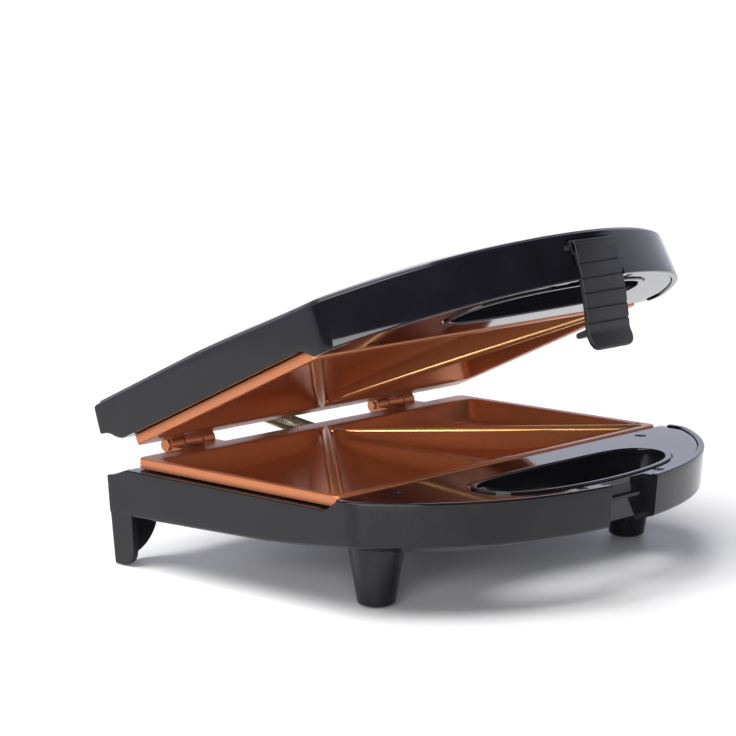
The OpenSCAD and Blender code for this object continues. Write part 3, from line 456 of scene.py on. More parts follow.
# ------------------------------------------------------------------ housings
@dataclass
class Housing:
    """What the base's and the lid's mouldings share: wall, rim, deck, cover seat and slot tube."""

    name: str
    place: Place
    deck: float
    rear_deck: float
    wall_h: float
    edge_x: float = 2.0
    edge_z: float = 2.0
    rim_round: float = 0.6
    slot_round: float = 1.2
    seat_z: float = -3.2
    edge_run: float = 9.0
    edge_steps: tuple[float, ...] = (7.5, 6.0, 4.5, 3.2, 2.4)

    def far_z(self, x: np.ndarray, y: np.ndarray) -> np.ndarray:
        """Height of the face away from the rim plane."""
        raise NotImplementedError

    def wall_depth(self, y: np.ndarray) -> np.ndarray:
        """Depth of the wall at a place along it."""
        raise NotImplementedError

    def deck_z(self, y: np.ndarray) -> np.ndarray:
        """Height of the deck: level beside the plate, a slant up in front of it, a dip behind it."""
        knots = [-129.0, -122.0, 2.2, 9.3, OUTLINE.rear_reach]
        heights = [0.0, -self.deck, -self.deck, 1.1 - self.rear_deck, -self.rear_deck]
        return np.interp(y, knots, heights)

    def rows(self) -> np.ndarray:
        """Closed grid of the moulding: far face, far edge, wall, rim, deck or cover seat, slot tube.

        Returns:
            Points of shape (rows, columns, 3); the last row joins the first.
        """
        wall_inset = LAYOUT.draft * self.wall_h
        base_ring = OUTLINE.ring(0.0)[0]
        a = SLOT.angles(base_ring)
        rows: list[tuple[np.ndarray, np.ndarray]] = []

        def far(xy: np.ndarray, drop: float = 0.0) -> tuple[np.ndarray, np.ndarray]:
            """A row on the far face."""
            return xy, self.far_z(xy[:, 0], xy[:, 1]) + drop

        for t in np.linspace(0, math.pi / 2, 5):
            e = self.slot_round
            rows.append(far(SLOT.loop(a, e * (1 - math.cos(t)))[0], e * (1 - math.sin(t))))
        inner = SLOT.loop(a, self.slot_round)[0]
        outer = OUTLINE.ring(wall_inset + self.edge_run)[0]
        for t in np.linspace(0, 1, 26)[1:]:
            rows.append(far(inner + (outer - inner) * t))
        for d in self.edge_steps:
            rows.append(far(OUTLINE.ring(wall_inset + d)[0]))
        for t in np.linspace(math.pi / 2, 0, 7):
            xy = OUTLINE.ring(wall_inset + self.edge_x * (1 - math.cos(t)))[0]
            rows.append((xy, -self.wall_depth(xy[:, 1]) + self.edge_z * (1 - math.sin(t))))
        # wall: the inset falls evenly from the far edge to nothing at the rim plane
        top_z = -self.wall_depth(base_ring[:, 1]) + self.edge_z
        rim_z = self.deck_z(base_ring[:, 1])
        start = rim_z - self.rim_round
        for t in np.linspace(0, 1, 7)[1:]:
            z = top_z + (start - top_z) * t
            rings = OUTLINE.ring(np.array([0.0, wall_inset]))
            k = (z / top_z)[:, None]
            rows.append((rings[0] + (rings[1] - rings[0]) * k, z))
        k = (start / top_z)[:, None]
        for t in np.linspace(0, math.pi / 2, 5)[1:]:
            more = self.rim_round * (1 - math.cos(t))
            rings = OUTLINE.ring(np.array([more, wall_inset + more]))
            rows.append((rings[0] + (rings[1] - rings[0]) * k, start + self.rim_round * math.sin(t)))
        # rim land, then the cover's seat in front and the deck elsewhere
        front = base_ring[:, 1] < -LAYOUT.plate_d - 0.8
        for d, z in ((1.6, 0.0), (2.7, 0.0), (2.92, -0.09), (3.0, -0.3)):
            xy = OUTLINE.ring(d)[0]
            rows.append((xy, self.deck_z(xy[:, 1]) + z * front))
        for d_front, d_side in ((3.0, 4.7), (3.3, 7.0), (4.0, 10.4)):
            ring_a, ring_b = OUTLINE.ring(d_front)[0], OUTLINE.ring(d_side)[0]
            xy = np.where(front[:, None], ring_a, ring_b)
            rows.append((xy, np.where(front, self.seat_z, self.deck_z(xy[:, 1]))))
        # under the plate and the cover, out of sight
        edge = np.where(front[:, None], OUTLINE.ring(4.0)[0], OUTLINE.ring(10.4)[0])
        hole = SLOT.loop(a, 0.0)[0]
        for t in np.linspace(0, 1, 18)[:-1]:
            xy = edge + (hole - edge) * t
            low = np.maximum(self.far_z(xy[:, 0], xy[:, 1]), -LAYOUT.base_depth) + 2.4
            drop = np.interp(xy[:, 1], [-136.0, -128.5], [0.0, 1.0])
            depth = self.seat_z + (low - self.seat_z) * drop
            rows.append((xy, np.where(front & (t < 0.01), self.seat_z, depth)))
        for t in np.linspace(0, 1, 7)[:-1]:
            far_edge = self.far_z(hole[:, 0], hole[:, 1]) + self.slot_round
            rows.append((hole, self.seat_z + (far_edge - self.seat_z) * t))
        return stack_rows(rows)

    def moulding(self) -> bpy.types.Object:
        """Build the closed moulding."""
        surface = Surface()
        surface.grid(self.rows(), wrap_rows=True, wrap_cols=True)
        return surface.build(self.name, self.place)


@dataclass
class BaseHousing(Housing):
    """Lower housing with its latch channel, rear legs and holes."""

    name: str = "base_moulding"
    place: Place = Place.BASE
    deck: float = 5.3
    rear_deck: float = 9.3
    wall_h: float = 24.4
    ledge_down: float = 7.2
    ledge_reach: float = 2.4
    leg_t: float = 3.0
    leg_depth: float = 15.0
    leg_reach: float = 26.0
    leg_low_r: float = 8.0
    leg_back_r: float = 21.0
    leg_back_up: float = 2.6
    leg_edge_r: float = 0.8
    leg_inner_r: float = 0.5
    leg_lap: float = 0.01
    leg_top: float = -14.0
    front_rise: float = 5.2
    rise_from: float = 82.0
    rise_run: float = 72.0
    rear_sag: float = 3.1
    sag_from: float = 91.0
    sag_run: float = 100.0
    belly: float = 16.0
    mouth_y: float = -202.0
    catch_reach: float = 4.8
    recess_reach: float = 5.2
    recess_z: float = -19.2
    inlet: tuple[float, float] = (62.0, 34.0)
    inlet_r: float = 5.05
    screw_x: float = 96.0
    screw_ys: tuple[float, float] = (-16.0, -109.0)
    screw_r: float = 3.7
    screw_seat: float = 3.2

    def wall_depth(self, y: np.ndarray) -> np.ndarray:
        """Depth of the wall: it hangs below the floor at the rear and sweeps up to the front."""
        u = np.clip((-y - self.rise_from) / self.rise_run, 0, 1)
        sag = self.rear_sag * np.clip((y + self.sag_from) / self.sag_run, 0, 1.2)
        return LAYOUT.base_depth + sag - self.front_rise * u * u * (3 - 2 * u)

    def far_z(self, x: np.ndarray, y: np.ndarray) -> np.ndarray:
        """Height of the underside: the wall's lower edge, led over to the level belly."""
        gap = OUTLINE.edge_distance(x, y) - LAYOUT.draft * LAYOUT.base_depth
        u = np.clip((gap - self.edge_x) / (self.belly - self.edge_x), 0, 1)
        edge = self.wall_depth(y)
        return -(edge + (LAYOUT.base_depth - edge) * u)

    def channel_profile(self) -> np.ndarray:
        """Side view of the latch channel: back wall, catch ledge, leaning catch wall, hook recess."""
        y, mouth, under = LAYOUT.channel_y, self.mouth_y, self.recess_z
        ledge, catch = y - self.ledge_reach, y - self.ledge_reach + self.catch_reach
        deep = catch + self.recess_reach
        return np.array([
            [mouth, 5.0], [y, 5.0], [y, -self.ledge_down + 0.5], [y - 0.15, -self.ledge_down + 0.15],
            [y - 0.5, -self.ledge_down], [ledge + 0.4, -self.ledge_down], [ledge + 0.1, -self.ledge_down - 0.15],
            [ledge, -self.ledge_down - 0.5], [ledge, -8.8], [ledge + 1.2, -9.4], [catch, under],
            [deep, under], [deep, -29.4], [mouth, -29.4],
        ])

    def leg(self, side: int) -> bpy.types.Object:
        """One rear leg: the wall's own surface carried down to the table round the corner.

        The outer wall lies at inset draft * depth. Its lower end follows a quarter circle at the
        side flange's front and a larger one that sweeps up along the back.

        Args:
            side: 1 for the right leg, -1 for the left.

        Returns:
            The leg.
        """
        draft, rim = LAYOUT.draft, LAYOUT.rim_z
        skirt = draft * rim
        y_front = OUTLINE.rear_reach - draft * LAYOUT.base_depth - self.leg_depth
        x_in = OUTLINE.shell_w / 2 - skirt - self.leg_reach
        n = 24
        hw, rear, rr = OUTLINE.shell_w / 2, OUTLINE.rear_reach, OUTLINE.corner_r
        side_y = np.linspace(y_front, rear - rr, n)
        corner_a = np.linspace(0, math.pi / 2, 14)[1:]
        back_x = np.linspace(hw - rr, x_in, 30)[1:]

        def wall(inset: float) -> np.ndarray:
            """Plan of the leg's wall at an inset."""
            r = max(rr - inset, 1.0)
            sx = np.full(n, hw - inset)
            s_y = np.minimum(side_y, rear - inset - r)
            cx, cy = hw - inset - r, rear - inset - r
            b_x = np.minimum(back_x, cx)
            return np.concatenate([
                np.column_stack([sx, s_y]),
                np.column_stack([cx + r * np.cos(corner_a), cy + r * np.sin(corner_a)]),
                np.column_stack([b_x, np.full(len(b_x), rear - inset)]),
            ])

        def rise(v: np.ndarray, r: float) -> np.ndarray:
            """Height of a quarter circle of radius r that reaches the table at distance r."""
            return np.where(v < r, r - np.sqrt(np.maximum(r * r - (r - v) ** 2, 0)), 0.0)

        foot = wall(skirt)
        at_side = np.arange(len(foot)) < n
        s = foot[:, 1] - y_front
        side_low = -rim + rise(s, self.leg_low_r)
        up = self.leg_back_up
        back_low = -rim + up + rise(foot[:, 0] - x_in, self.leg_back_r)
        corner = (np.arange(len(foot)) >= n) & (np.arange(len(foot)) < n + len(corner_a))
        blend = np.cumsum(corner) / corner.sum()
        low = np.where(at_side, side_low, np.where(corner, -rim + up * blend**3, back_low))
        high = np.full(len(foot), self.leg_top)
        low = np.minimum(low, high - 1.0)

        def at(z: np.ndarray, more: float) -> np.ndarray:
            """Row of the wall at given depths, moved inwards by a distance."""
            a, b = wall(more), wall(more + skirt)
            k = (-z / rim)[:, None]
            return np.column_stack([a + (b - a) * k, z])

        edge, inner, lap, thick = self.leg_edge_r, self.leg_inner_r, -self.leg_lap, self.leg_t
        rows = [at(high + (low + edge - high) * t, lap) for t in np.linspace(0, 1, 10)]
        for t in np.linspace(0, math.pi / 2, 5)[1:]:
            rows.append(at(low + edge * (1 - math.sin(t)), lap + edge * (1 - math.cos(t))))
        for t in np.linspace(0, math.pi / 2, 4):
            rows.append(at(low + inner * (1 - math.cos(t)), thick - inner + inner * math.sin(t)))
        rows += [at(low + inner + (high - low - inner) * t, thick) for t in np.linspace(0, 1, 10)[1:]]
        p = np.stack(rows) * np.array([side, 1.0, 1.0])
        surface = Surface()
        surface.grid(p, wrap_rows=True)
        surface.cap(p[:, 0], flip=True)
        surface.cap(p[:, -1])
        return surface.build(f"rear_leg_{'right' if side > 0 else 'left'}", Place.BASE)

    def make(self) -> list[bpy.types.Object]:
        """Build the moulding with its holes, and the two legs.

        Returns:
            The pieces.
        """
        body = self.moulding()
        x, z = self.inlet
        cutters = [
            prism("c0", self.channel_profile(), LAYOUT.channel_hw, Place.BASE),
            rod("c1", np.array([x, 30.0, z]), np.array([x, 0.0, z]), self.inlet_r, Place.CLOSED),
            CONDUIT.seat_cutter("c2", at_base=True),
        ]
        seat = LAYOUT.floor_z + self.screw_seat - LAYOUT.rim_z
        for x in (-self.screw_x, self.screw_x):
            for y in self.screw_ys:
                cutters.append(column("c3", (x, y), self.screw_r, -30.0, seat, Place.BASE))
        cut(body, cutters)
        return [body, self.leg(1), self.leg(-1)]


@dataclass
class LidHousing(Housing):
    """Upper housing with its crowned top, lamp panel and latch notch."""

    name: str = "lid_moulding"
    place: Place = Place.LID
    deck: float = 4.9
    rear_deck: float = 11.2
    wall_h: float = 24.8
    edge_z: float = 1.8
    nose_drop: float = 3.2
    nose_from: float = 50.0
    nose_run: float = 90.0
    crown_run: float = 60.0
    hip_from: float = 2.0
    hip_run: float = 18.0
    notch_h: float = 18.4
    notch_y: float = -202.0
    notch_less: float = 0.6
    lamp_x: float = 11.0
    lamp_y: float = -112.0
    lamp_r: float = 6.5
    lamp_z: float = 29.7

    def wall_depth(self, y: np.ndarray) -> np.ndarray:
        """Depth of the wall, eased down along the front."""
        u = np.clip((-y - self.nose_from) / self.nose_run, 0, 1)
        return self.wall_h - self.nose_drop * u * u * (3 - 2 * u)

    def far_z(self, x: np.ndarray, y: np.ndarray) -> np.ndarray:
        """Height of the crowned top.

        The nearest edge gives s = 1 - (1 - min(d, run) / run)^2 for its distance d. Away from the
        edges the three such values are joined softly as (sum of s^-2, less 2)^-1/2, so that no
        hip line shows.

        Args:
            x: places along x.
            y: places along y.

        Returns:
            Heights.
        """
        inset = LAYOUT.draft * self.wall_h
        gaps = [
            OUTLINE.front_distance(x, y) - inset,
            OUTLINE.shell_w / 2 - inset - np.abs(x),
            OUTLINE.rear_reach - inset - y,
        ]
        near = OUTLINE.edge_distance(x, y) - inset
        s = [1 - (1 - np.clip(g, 1e-3, self.crown_run) / self.crown_run) ** 2 for g in (*gaps, near)]
        joined = (sum(v**-2.0 for v in s[:3]) - 2) ** -0.5
        u = np.clip((near - self.hip_from) / self.hip_run, 0, 1)
        u = u * u * (3 - 2 * u)
        return -(self.wall_depth(y) + LAYOUT.crown_h * (joined * u + s[3] * (1 - u)))

    def make(self) -> list[bpy.types.Object]:
        """Build the moulding with its notch, lamp panel and conduit hole."""
        body = self.moulding()
        w = LAYOUT.channel_hw - self.notch_less
        y, h, out = LAYOUT.channel_y, self.notch_h, self.notch_y
        notch = np.array([[out, 5.0], [y, 5.0], [y, -h + 0.6], [y - 0.18, -h + 0.18], [y - 0.6, -h], [out, -h]])
        t = np.linspace(-math.pi / 2, math.pi / 2, 25)
        right = np.column_stack([self.lamp_x + self.lamp_r * np.cos(t), self.lamp_r * np.sin(t)])
        panel = np.concatenate([right, -right])
        surface = Surface()
        p = stack_rows([(panel + np.array([0.0, self.lamp_y]), z) for z in (-50.0, -self.lamp_z)])
        surface.grid(p, wrap_cols=True)
        surface.cap(p[0], flip=True)
        surface.cap(p[1])
        lamps = surface.build("c1", Place.LID)
        cut(body, [prism("c0", notch, w, Place.LID), lamps, CONDUIT.seat_cutter("c2", at_base=False)])
        return [body]


@dataclass
class Cover:
    """Glossy cover in front of the plates, with its raised slot lip, groove and screw recesses."""

    name: str
    place: Place
    lip_h: float = 0.8
    lip_w: float = 2.2
    groove_w: float = 0.8
    groove_h: float = 0.7
    back_gap: float = 0.6
    edge_r: float = 0.3
    recess_r: float = 2.9
    recess_h: float = 1.2
    screws: tuple[tuple[float, float], ...] = ((86.0, -134.5), (27.5, -187.7))

    def boundary(self, inset: float) -> np.ndarray:
        """Edge of the cover: the housing's outline in front, a straight line along the plates."""
        rings = OUTLINE.ring(LAYOUT.rim_w + LAYOUT.cover_gap + np.array([0.0, inset]))
        line = -LAYOUT.plate_d - self.back_gap - inset
        half = np.arange(rings.shape[1]) < rings.shape[1] // 2
        right = rings[1][half & (rings[0][:, 1] < -LAYOUT.plate_d - 2.0)]
        edge = np.array([[np.interp(line, rings[1][half, 1], rings[1][half, 0]), line]])
        corner = np.concatenate([right, edge])
        back = np.linspace(1, -1, 121)[1:-1, None] * edge * np.array([1.0, 0.0]) + np.array([0.0, line])
        left = corner[:0:-1] * np.array([-1.0, 1.0])
        return np.concatenate([corner, back, left])

    def make(self) -> bpy.types.Object:
        """Build the cover as one closed band round the slot, then cut its notch and recesses."""
        top, low = -LAYOUT.cover_drop, -LAYOUT.cover_drop - LAYOUT.cover_t
        outer, inner = self.boundary(0.0), self.boundary(0.5)
        a = np.arctan2((outer[:, 1] - SLOT.middle_y) / 36.0, outer[:, 0] / 115.0)
        rows: list[tuple[np.ndarray, np.ndarray]] = []
        n = len(outer)

        def flat(xy: np.ndarray, z: float) -> None:
            """Add one level row."""
            rows.append((xy, np.full(n, z)))

        step = (inner - outer) / 0.5
        flat(outer, low)
        flat(outer, top - self.edge_r)
        for t in np.linspace(0, math.pi / 2, 4)[1:]:
            flat(outer + step * self.edge_r * (1 - math.cos(t)), top - self.edge_r * (1 - math.sin(t)))
        groove = self.lip_w + self.groove_w
        start, stop = outer + step * self.edge_r, SLOT.loop(a, groove + 0.15)[0]
        for t in np.linspace(0, 1, 14)[1:]:
            flat(start + (stop - start) * t, top)
        bed = top - self.groove_h
        for g, z in ((groove + 0.04, top - 0.05), (groove, top - 0.16), (groove, bed), (self.lip_w, bed)):
            flat(SLOT.loop(a, g)[0], z)
        lip = top + self.lip_h
        for t in np.linspace(0, math.pi / 2, 5):
            flat(SLOT.loop(a, self.lip_w - 0.5 * (1 - math.cos(t)))[0], lip - 0.5 * (1 - math.sin(t)))
        for t in np.linspace(math.pi / 2, 0, 5):
            flat(SLOT.loop(a, 0.6 * (1 - math.cos(t)))[0], lip - 0.6 * (1 - math.sin(t)))
        flat(SLOT.loop(a, 0.0)[0], low)
        last = SLOT.loop(a, 0.0)[0]
        for t in np.linspace(0, 1, 6)[1:-1]:
            flat(last + (outer - last) * t, low)
        surface = Surface()
        surface.grid(stack_rows(rows), wrap_rows=True, wrap_cols=True)
        obj = surface.build(self.name, self.place)
        y = LAYOUT.channel_y
        channel = np.array([[-210.0, 5.0], [y, 5.0], [y, -8.0], [-210.0, -8.0]])
        cutters = [prism("c0", channel, LAYOUT.channel_hw, self.place)]
        for x, v in self.screws:
            for s in (-1, 1):
                cutters.append(column("c1", (s * x, v), self.recess_r, top - self.recess_h, 3.0, self.place))
        cut(obj, cutters)
        return obj


# ------------------------------------------------------------------ cooking plates
@dataclass
class CookingPlate:
    """Cast plate with four triangular pockets, its outer band and its hinge lugs."""

    name: str
    place: Place
    lugs: tuple[tuple[float, float], ...]
    ridge_w: float = 4.0
    divider_w: float = 3.0
    divider_drop: float = 3.4
    divider_hw: float = 9.0
    divider_run: float = 4.5
    divider_rear: float = -21.0
    divider_rear_run: float = 6.0
    divider_front_run: float = 5.0
    wall_run: float = 9.0
    wall_power: float = 1.7
    floor_slope: float = 0.16
    land_hw: float = 4.0
    land_run: float = 1.4
    land_end: float = 1.0
    land_end_run: float = 2.5
    lug_r: float = 4.0
    lug_edge: float = 0.4
    band_edge: float = 0.5
    corner_soft: float = 0.55
    bead_r: float = 2.3
    edge_r: float = 0.8
    corner_r: float = 4.0
    columns: int = 344
    lines: int = 190

    def ridge(self) -> tuple[np.ndarray, np.ndarray]:
        """Ends of the right half's ridge: the rear middle and the front corner."""
        lay = LAYOUT
        corner = np.array([lay.plate_w / 2 - lay.side_land, -lay.plate_d + lay.side_land])
        return np.array([0.0, -lay.rear_land]), corner

    def beads(self) -> list[bpy.types.Object]:
        """The round beads on top of the two ridges."""
        out = []
        for side, word in ((-1, "left"), (1, "right")):
            a, b = (np.array([side * q[0], q[1], -self.bead_r - 0.02]) for q in self.ridge())
            more = 1.5 * (b - a) / np.linalg.norm(b - a)
            out.append(rod(f"{self.name}_bead_{word}", a - more, b + more, self.bead_r, self.place, 40))
        return out

    def triangles(self) -> list[np.ndarray]:
        """The right half's two pockets: one beside the divider, one along the rear and the side."""
        lay = LAYOUT
        rear, front, side = -lay.rear_land, -lay.plate_d + lay.side_land, lay.plate_w / 2 - lay.side_land
        run = np.array([side, front - rear])
        across = np.array([-run[1], run[0]]) / np.linalg.norm(run)

        def at_x(p: np.ndarray, x: float) -> list[float]:
            """Point of the line through p along the ridge at x."""
            return [x, p[1] + run[1] * (x - p[0]) / run[0]]

        def at_y(p: np.ndarray, y: float) -> list[float]:
            """Point of the line through p along the ridge at y."""
            return [p[0] + run[0] * (y - p[1]) / run[1], y]

        near = np.array([0, rear]) - self.ridge_w / 2 * across
        away = np.array([0, rear]) + self.ridge_w / 2 * across
        half = self.divider_w / 2
        return [
            np.array([at_x(near, half), [half, front], at_y(near, front)]),
            np.array([at_y(away, rear), at_x(away, side), [side, rear]]),
        ]

    def height(self, x: np.ndarray, y: np.ndarray) -> np.ndarray:
        """Height of the cooking face.

        In each triangle e1, e2, e3 are the distances from its sides and d = -ln(sum of
        exp(-k e)) / k their soft minimum. The wall falls as D (1 - (1 - d / run)^power), where D is
        the floor's depth, which grows shallower away from the incentre. The land under each ridge's
        bead is sunk by the bead's radius, and the divider is lowered between its ends.

        Args:
            x: places along x.
            y: places along y.

        Returns:
            Heights, 0 on the rims.
        """
        ax = np.abs(x)
        z = np.zeros_like(x)
        for t in self.triangles():
            e = []
            area = (t[1] - t[0])[0] * (t[2] - t[0])[1] - (t[1] - t[0])[1] * (t[2] - t[0])[0]
            for i in range(3):
                p, q = t[i], t[(i + 1) % 3]
                v = (q - p) / np.linalg.norm(q - p)
                e.append((v[0] * (y - p[1]) - v[1] * (ax - p[0])) * np.sign(area))
            k = self.corner_soft
            soft = -np.log(sum(np.exp(-k * np.clip(v, -40, 200)) for v in e)) / k
            sides = [np.linalg.norm(t[(i + 1) % 3] - t[(i + 2) % 3]) for i in range(3)]
            centre = sum(s * p for s, p in zip(sides, t)) / sum(sides)
            inradius = abs(area) / sum(sides)
            floor = LAYOUT.pocket_depth * (1 - self.floor_slope * np.hypot(ax - centre[0], y - centre[1]) / inradius)
            d = (soft + np.sqrt(soft**2 + 0.5)) / 2
            z = np.minimum(z, -floor * (1 - (1 - np.clip(d / self.wall_run, 0, 1)) ** self.wall_power))
        a, b = self.ridge()
        way = (b - a) / np.linalg.norm(b - a)
        along = (ax - a[0]) * way[0] + (y - a[1]) * way[1]
        off = np.abs((ax - a[0]) * way[1] - (y - a[1]) * way[0])
        inside = np.minimum(along, np.linalg.norm(b - a) - along)
        ends = np.clip((inside - self.land_end) / self.land_end_run, 0, 1)
        sunk = np.clip((self.land_hw - off) / self.land_run, 0, 1) * ends
        z = np.minimum(z, -self.bead_r * sunk * sunk * (3 - 2 * sunk))
        across = np.clip((self.divider_hw - ax) / self.divider_run, 0, 1)
        rear = np.clip((self.divider_rear - y) / self.divider_rear_run, 0, 1)
        front = np.clip((y + LAYOUT.plate_d - LAYOUT.side_land + 0.5) / self.divider_front_run, 0, 1)
        u = across * rear * front
        return np.minimum(z, -self.divider_drop * u * u * (3 - 2 * u))

    def face(self, columns: int, lines: int, inset: float) -> np.ndarray:
        """Grid over the plate's rounded rectangle, inset by a distance.

        A square corner cell (a, b) is drawn to a quarter disc at (a sqrt(1 - b^2/2), b sqrt(1 - a^2/2)).

        Args:
            columns: points along x.
            lines: points along y.
            inset: distance from the plate's edge.

        Returns:
            Points of shape (lines, columns, 2).
        """
        r = max(self.corner_r - inset, 1e-3)
        hw, hd = LAYOUT.plate_w / 2 - inset, LAYOUT.plate_d / 2 - inset
        x, y = np.meshgrid(np.linspace(-hw, hw, columns), np.linspace(-hd, hd, lines))
        a = np.clip((np.abs(x) - hw + r) / r, 0, 1)
        b = np.clip((np.abs(y) - hd + r) / r, 0, 1)
        corner = (a > 0) & (b > 0)
        nx = np.where(corner, np.sign(x) * (hw - r + r * a * np.sqrt(1 - b * b / 2)), x)
        ny = np.where(corner, np.sign(y) * (hd - r + r * b * np.sqrt(1 - a * a / 2)), y)
        return np.stack([nx, ny - LAYOUT.plate_d / 2], axis=-1)

    def lug(self, surface: Surface, x: float, w: float) -> None:
        """Add one hinge lug: an arm that runs out to a barrel round the hinge axis.

        The side view is an arc of radius lug_r about the axis joined to the arm, carried along x
        with its ends drawn in by lug_edge.

        Args:
            surface: where it goes.
            x: middle of the lug.
            w: its width.
        """
        axis_z, r = LAYOUT.closed_gap / 2, self.lug_r
        t = np.linspace(-math.pi / 2, math.pi + math.asin(axis_z / r), 40)
        arc = np.column_stack([LAYOUT.hinge_y + r * np.cos(t), axis_z + r * np.sin(t)])
        hinge, low = LAYOUT.hinge_y, -LAYOUT.band_h
        base = np.array([[-1.0, low], [hinge - 1.0, low], [hinge, low + 0.6]])
        profile = np.concatenate([base, arc, [[-1.0, 0.0]]])
        middle = np.array([LAYOUT.hinge_y * 0.5, -1.5])
        rows = []
        for t in np.linspace(0, math.pi / 2, 5):
            draw = self.lug_edge * (1 - math.sin(t))
            inward = middle - profile
            inward /= np.linalg.norm(inward, axis=1)[:, None]
            rows.append((-w / 2 + self.lug_edge * (1 - math.cos(t)), profile + inward * draw))
        rows += [(-v, q) for v, q in rows[::-1]]
        p = np.stack([np.column_stack([np.full(len(q), x + v), q]) for v, q in rows])
        surface.grid(p, wrap_cols=True)
        surface.cap(p[0], flip=True)
        surface.cap(p[-1])

    def make(self) -> bpy.types.Object:
        """Build the plate: cooking face, rolled edge, band and underside, with the lugs."""
        xy = self.face(self.columns, self.lines, self.edge_r)
        top = np.concatenate([xy, self.height(xy[..., 0], xy[..., 1])[..., None]], axis=-1)
        surface = Surface()
        surface.grid(top)
        loop = np.concatenate([top[0, :-1], top[:-1, -1], top[-1, :0:-1], top[:0:-1, 0]])
        r = self.corner_r - self.edge_r
        hw, hd = LAYOUT.plate_w / 2 - self.corner_r, LAYOUT.plate_d / 2
        core = np.column_stack([
            np.clip(loop[:, 0], -hw, hw),
            np.clip(loop[:, 1] + hd, -hd + self.corner_r, hd - self.corner_r) - hd,
        ])
        out = (loop[:, :2] - core) / r
        rows = []
        for t in np.linspace(0, math.pi / 2, 6):
            drop = np.full(len(loop), -self.edge_r * (1 - math.cos(t)))
            rows.append((loop[:, :2] + out * self.edge_r * math.sin(t), drop))
        edge, low_r = loop[:, :2] + out * self.edge_r, self.band_edge
        for t in np.linspace(0, math.pi / 2, 4):
            height = np.full(len(edge), -LAYOUT.band_h + low_r * (1 - math.sin(t)))
            rows.append((edge - out * low_r * (1 - math.cos(t)), height))
        rows.append((core, np.full(len(core), -LAYOUT.band_h)))
        surface.grid(stack_rows(rows), wrap_cols=True, flip=True)
        under = self.face(self.columns // 4, self.lines // 4, self.corner_r)
        z = np.minimum(self.height(under[..., 0], under[..., 1]), -2.1) - 2.6
        surface.grid(np.concatenate([under, z[..., None]], axis=-1), flip=True)
        for x, w in self.lugs:
            self.lug(surface, x, w)
        return surface.build(self.name, self.place, smooth_deg=40.0, orient=False)


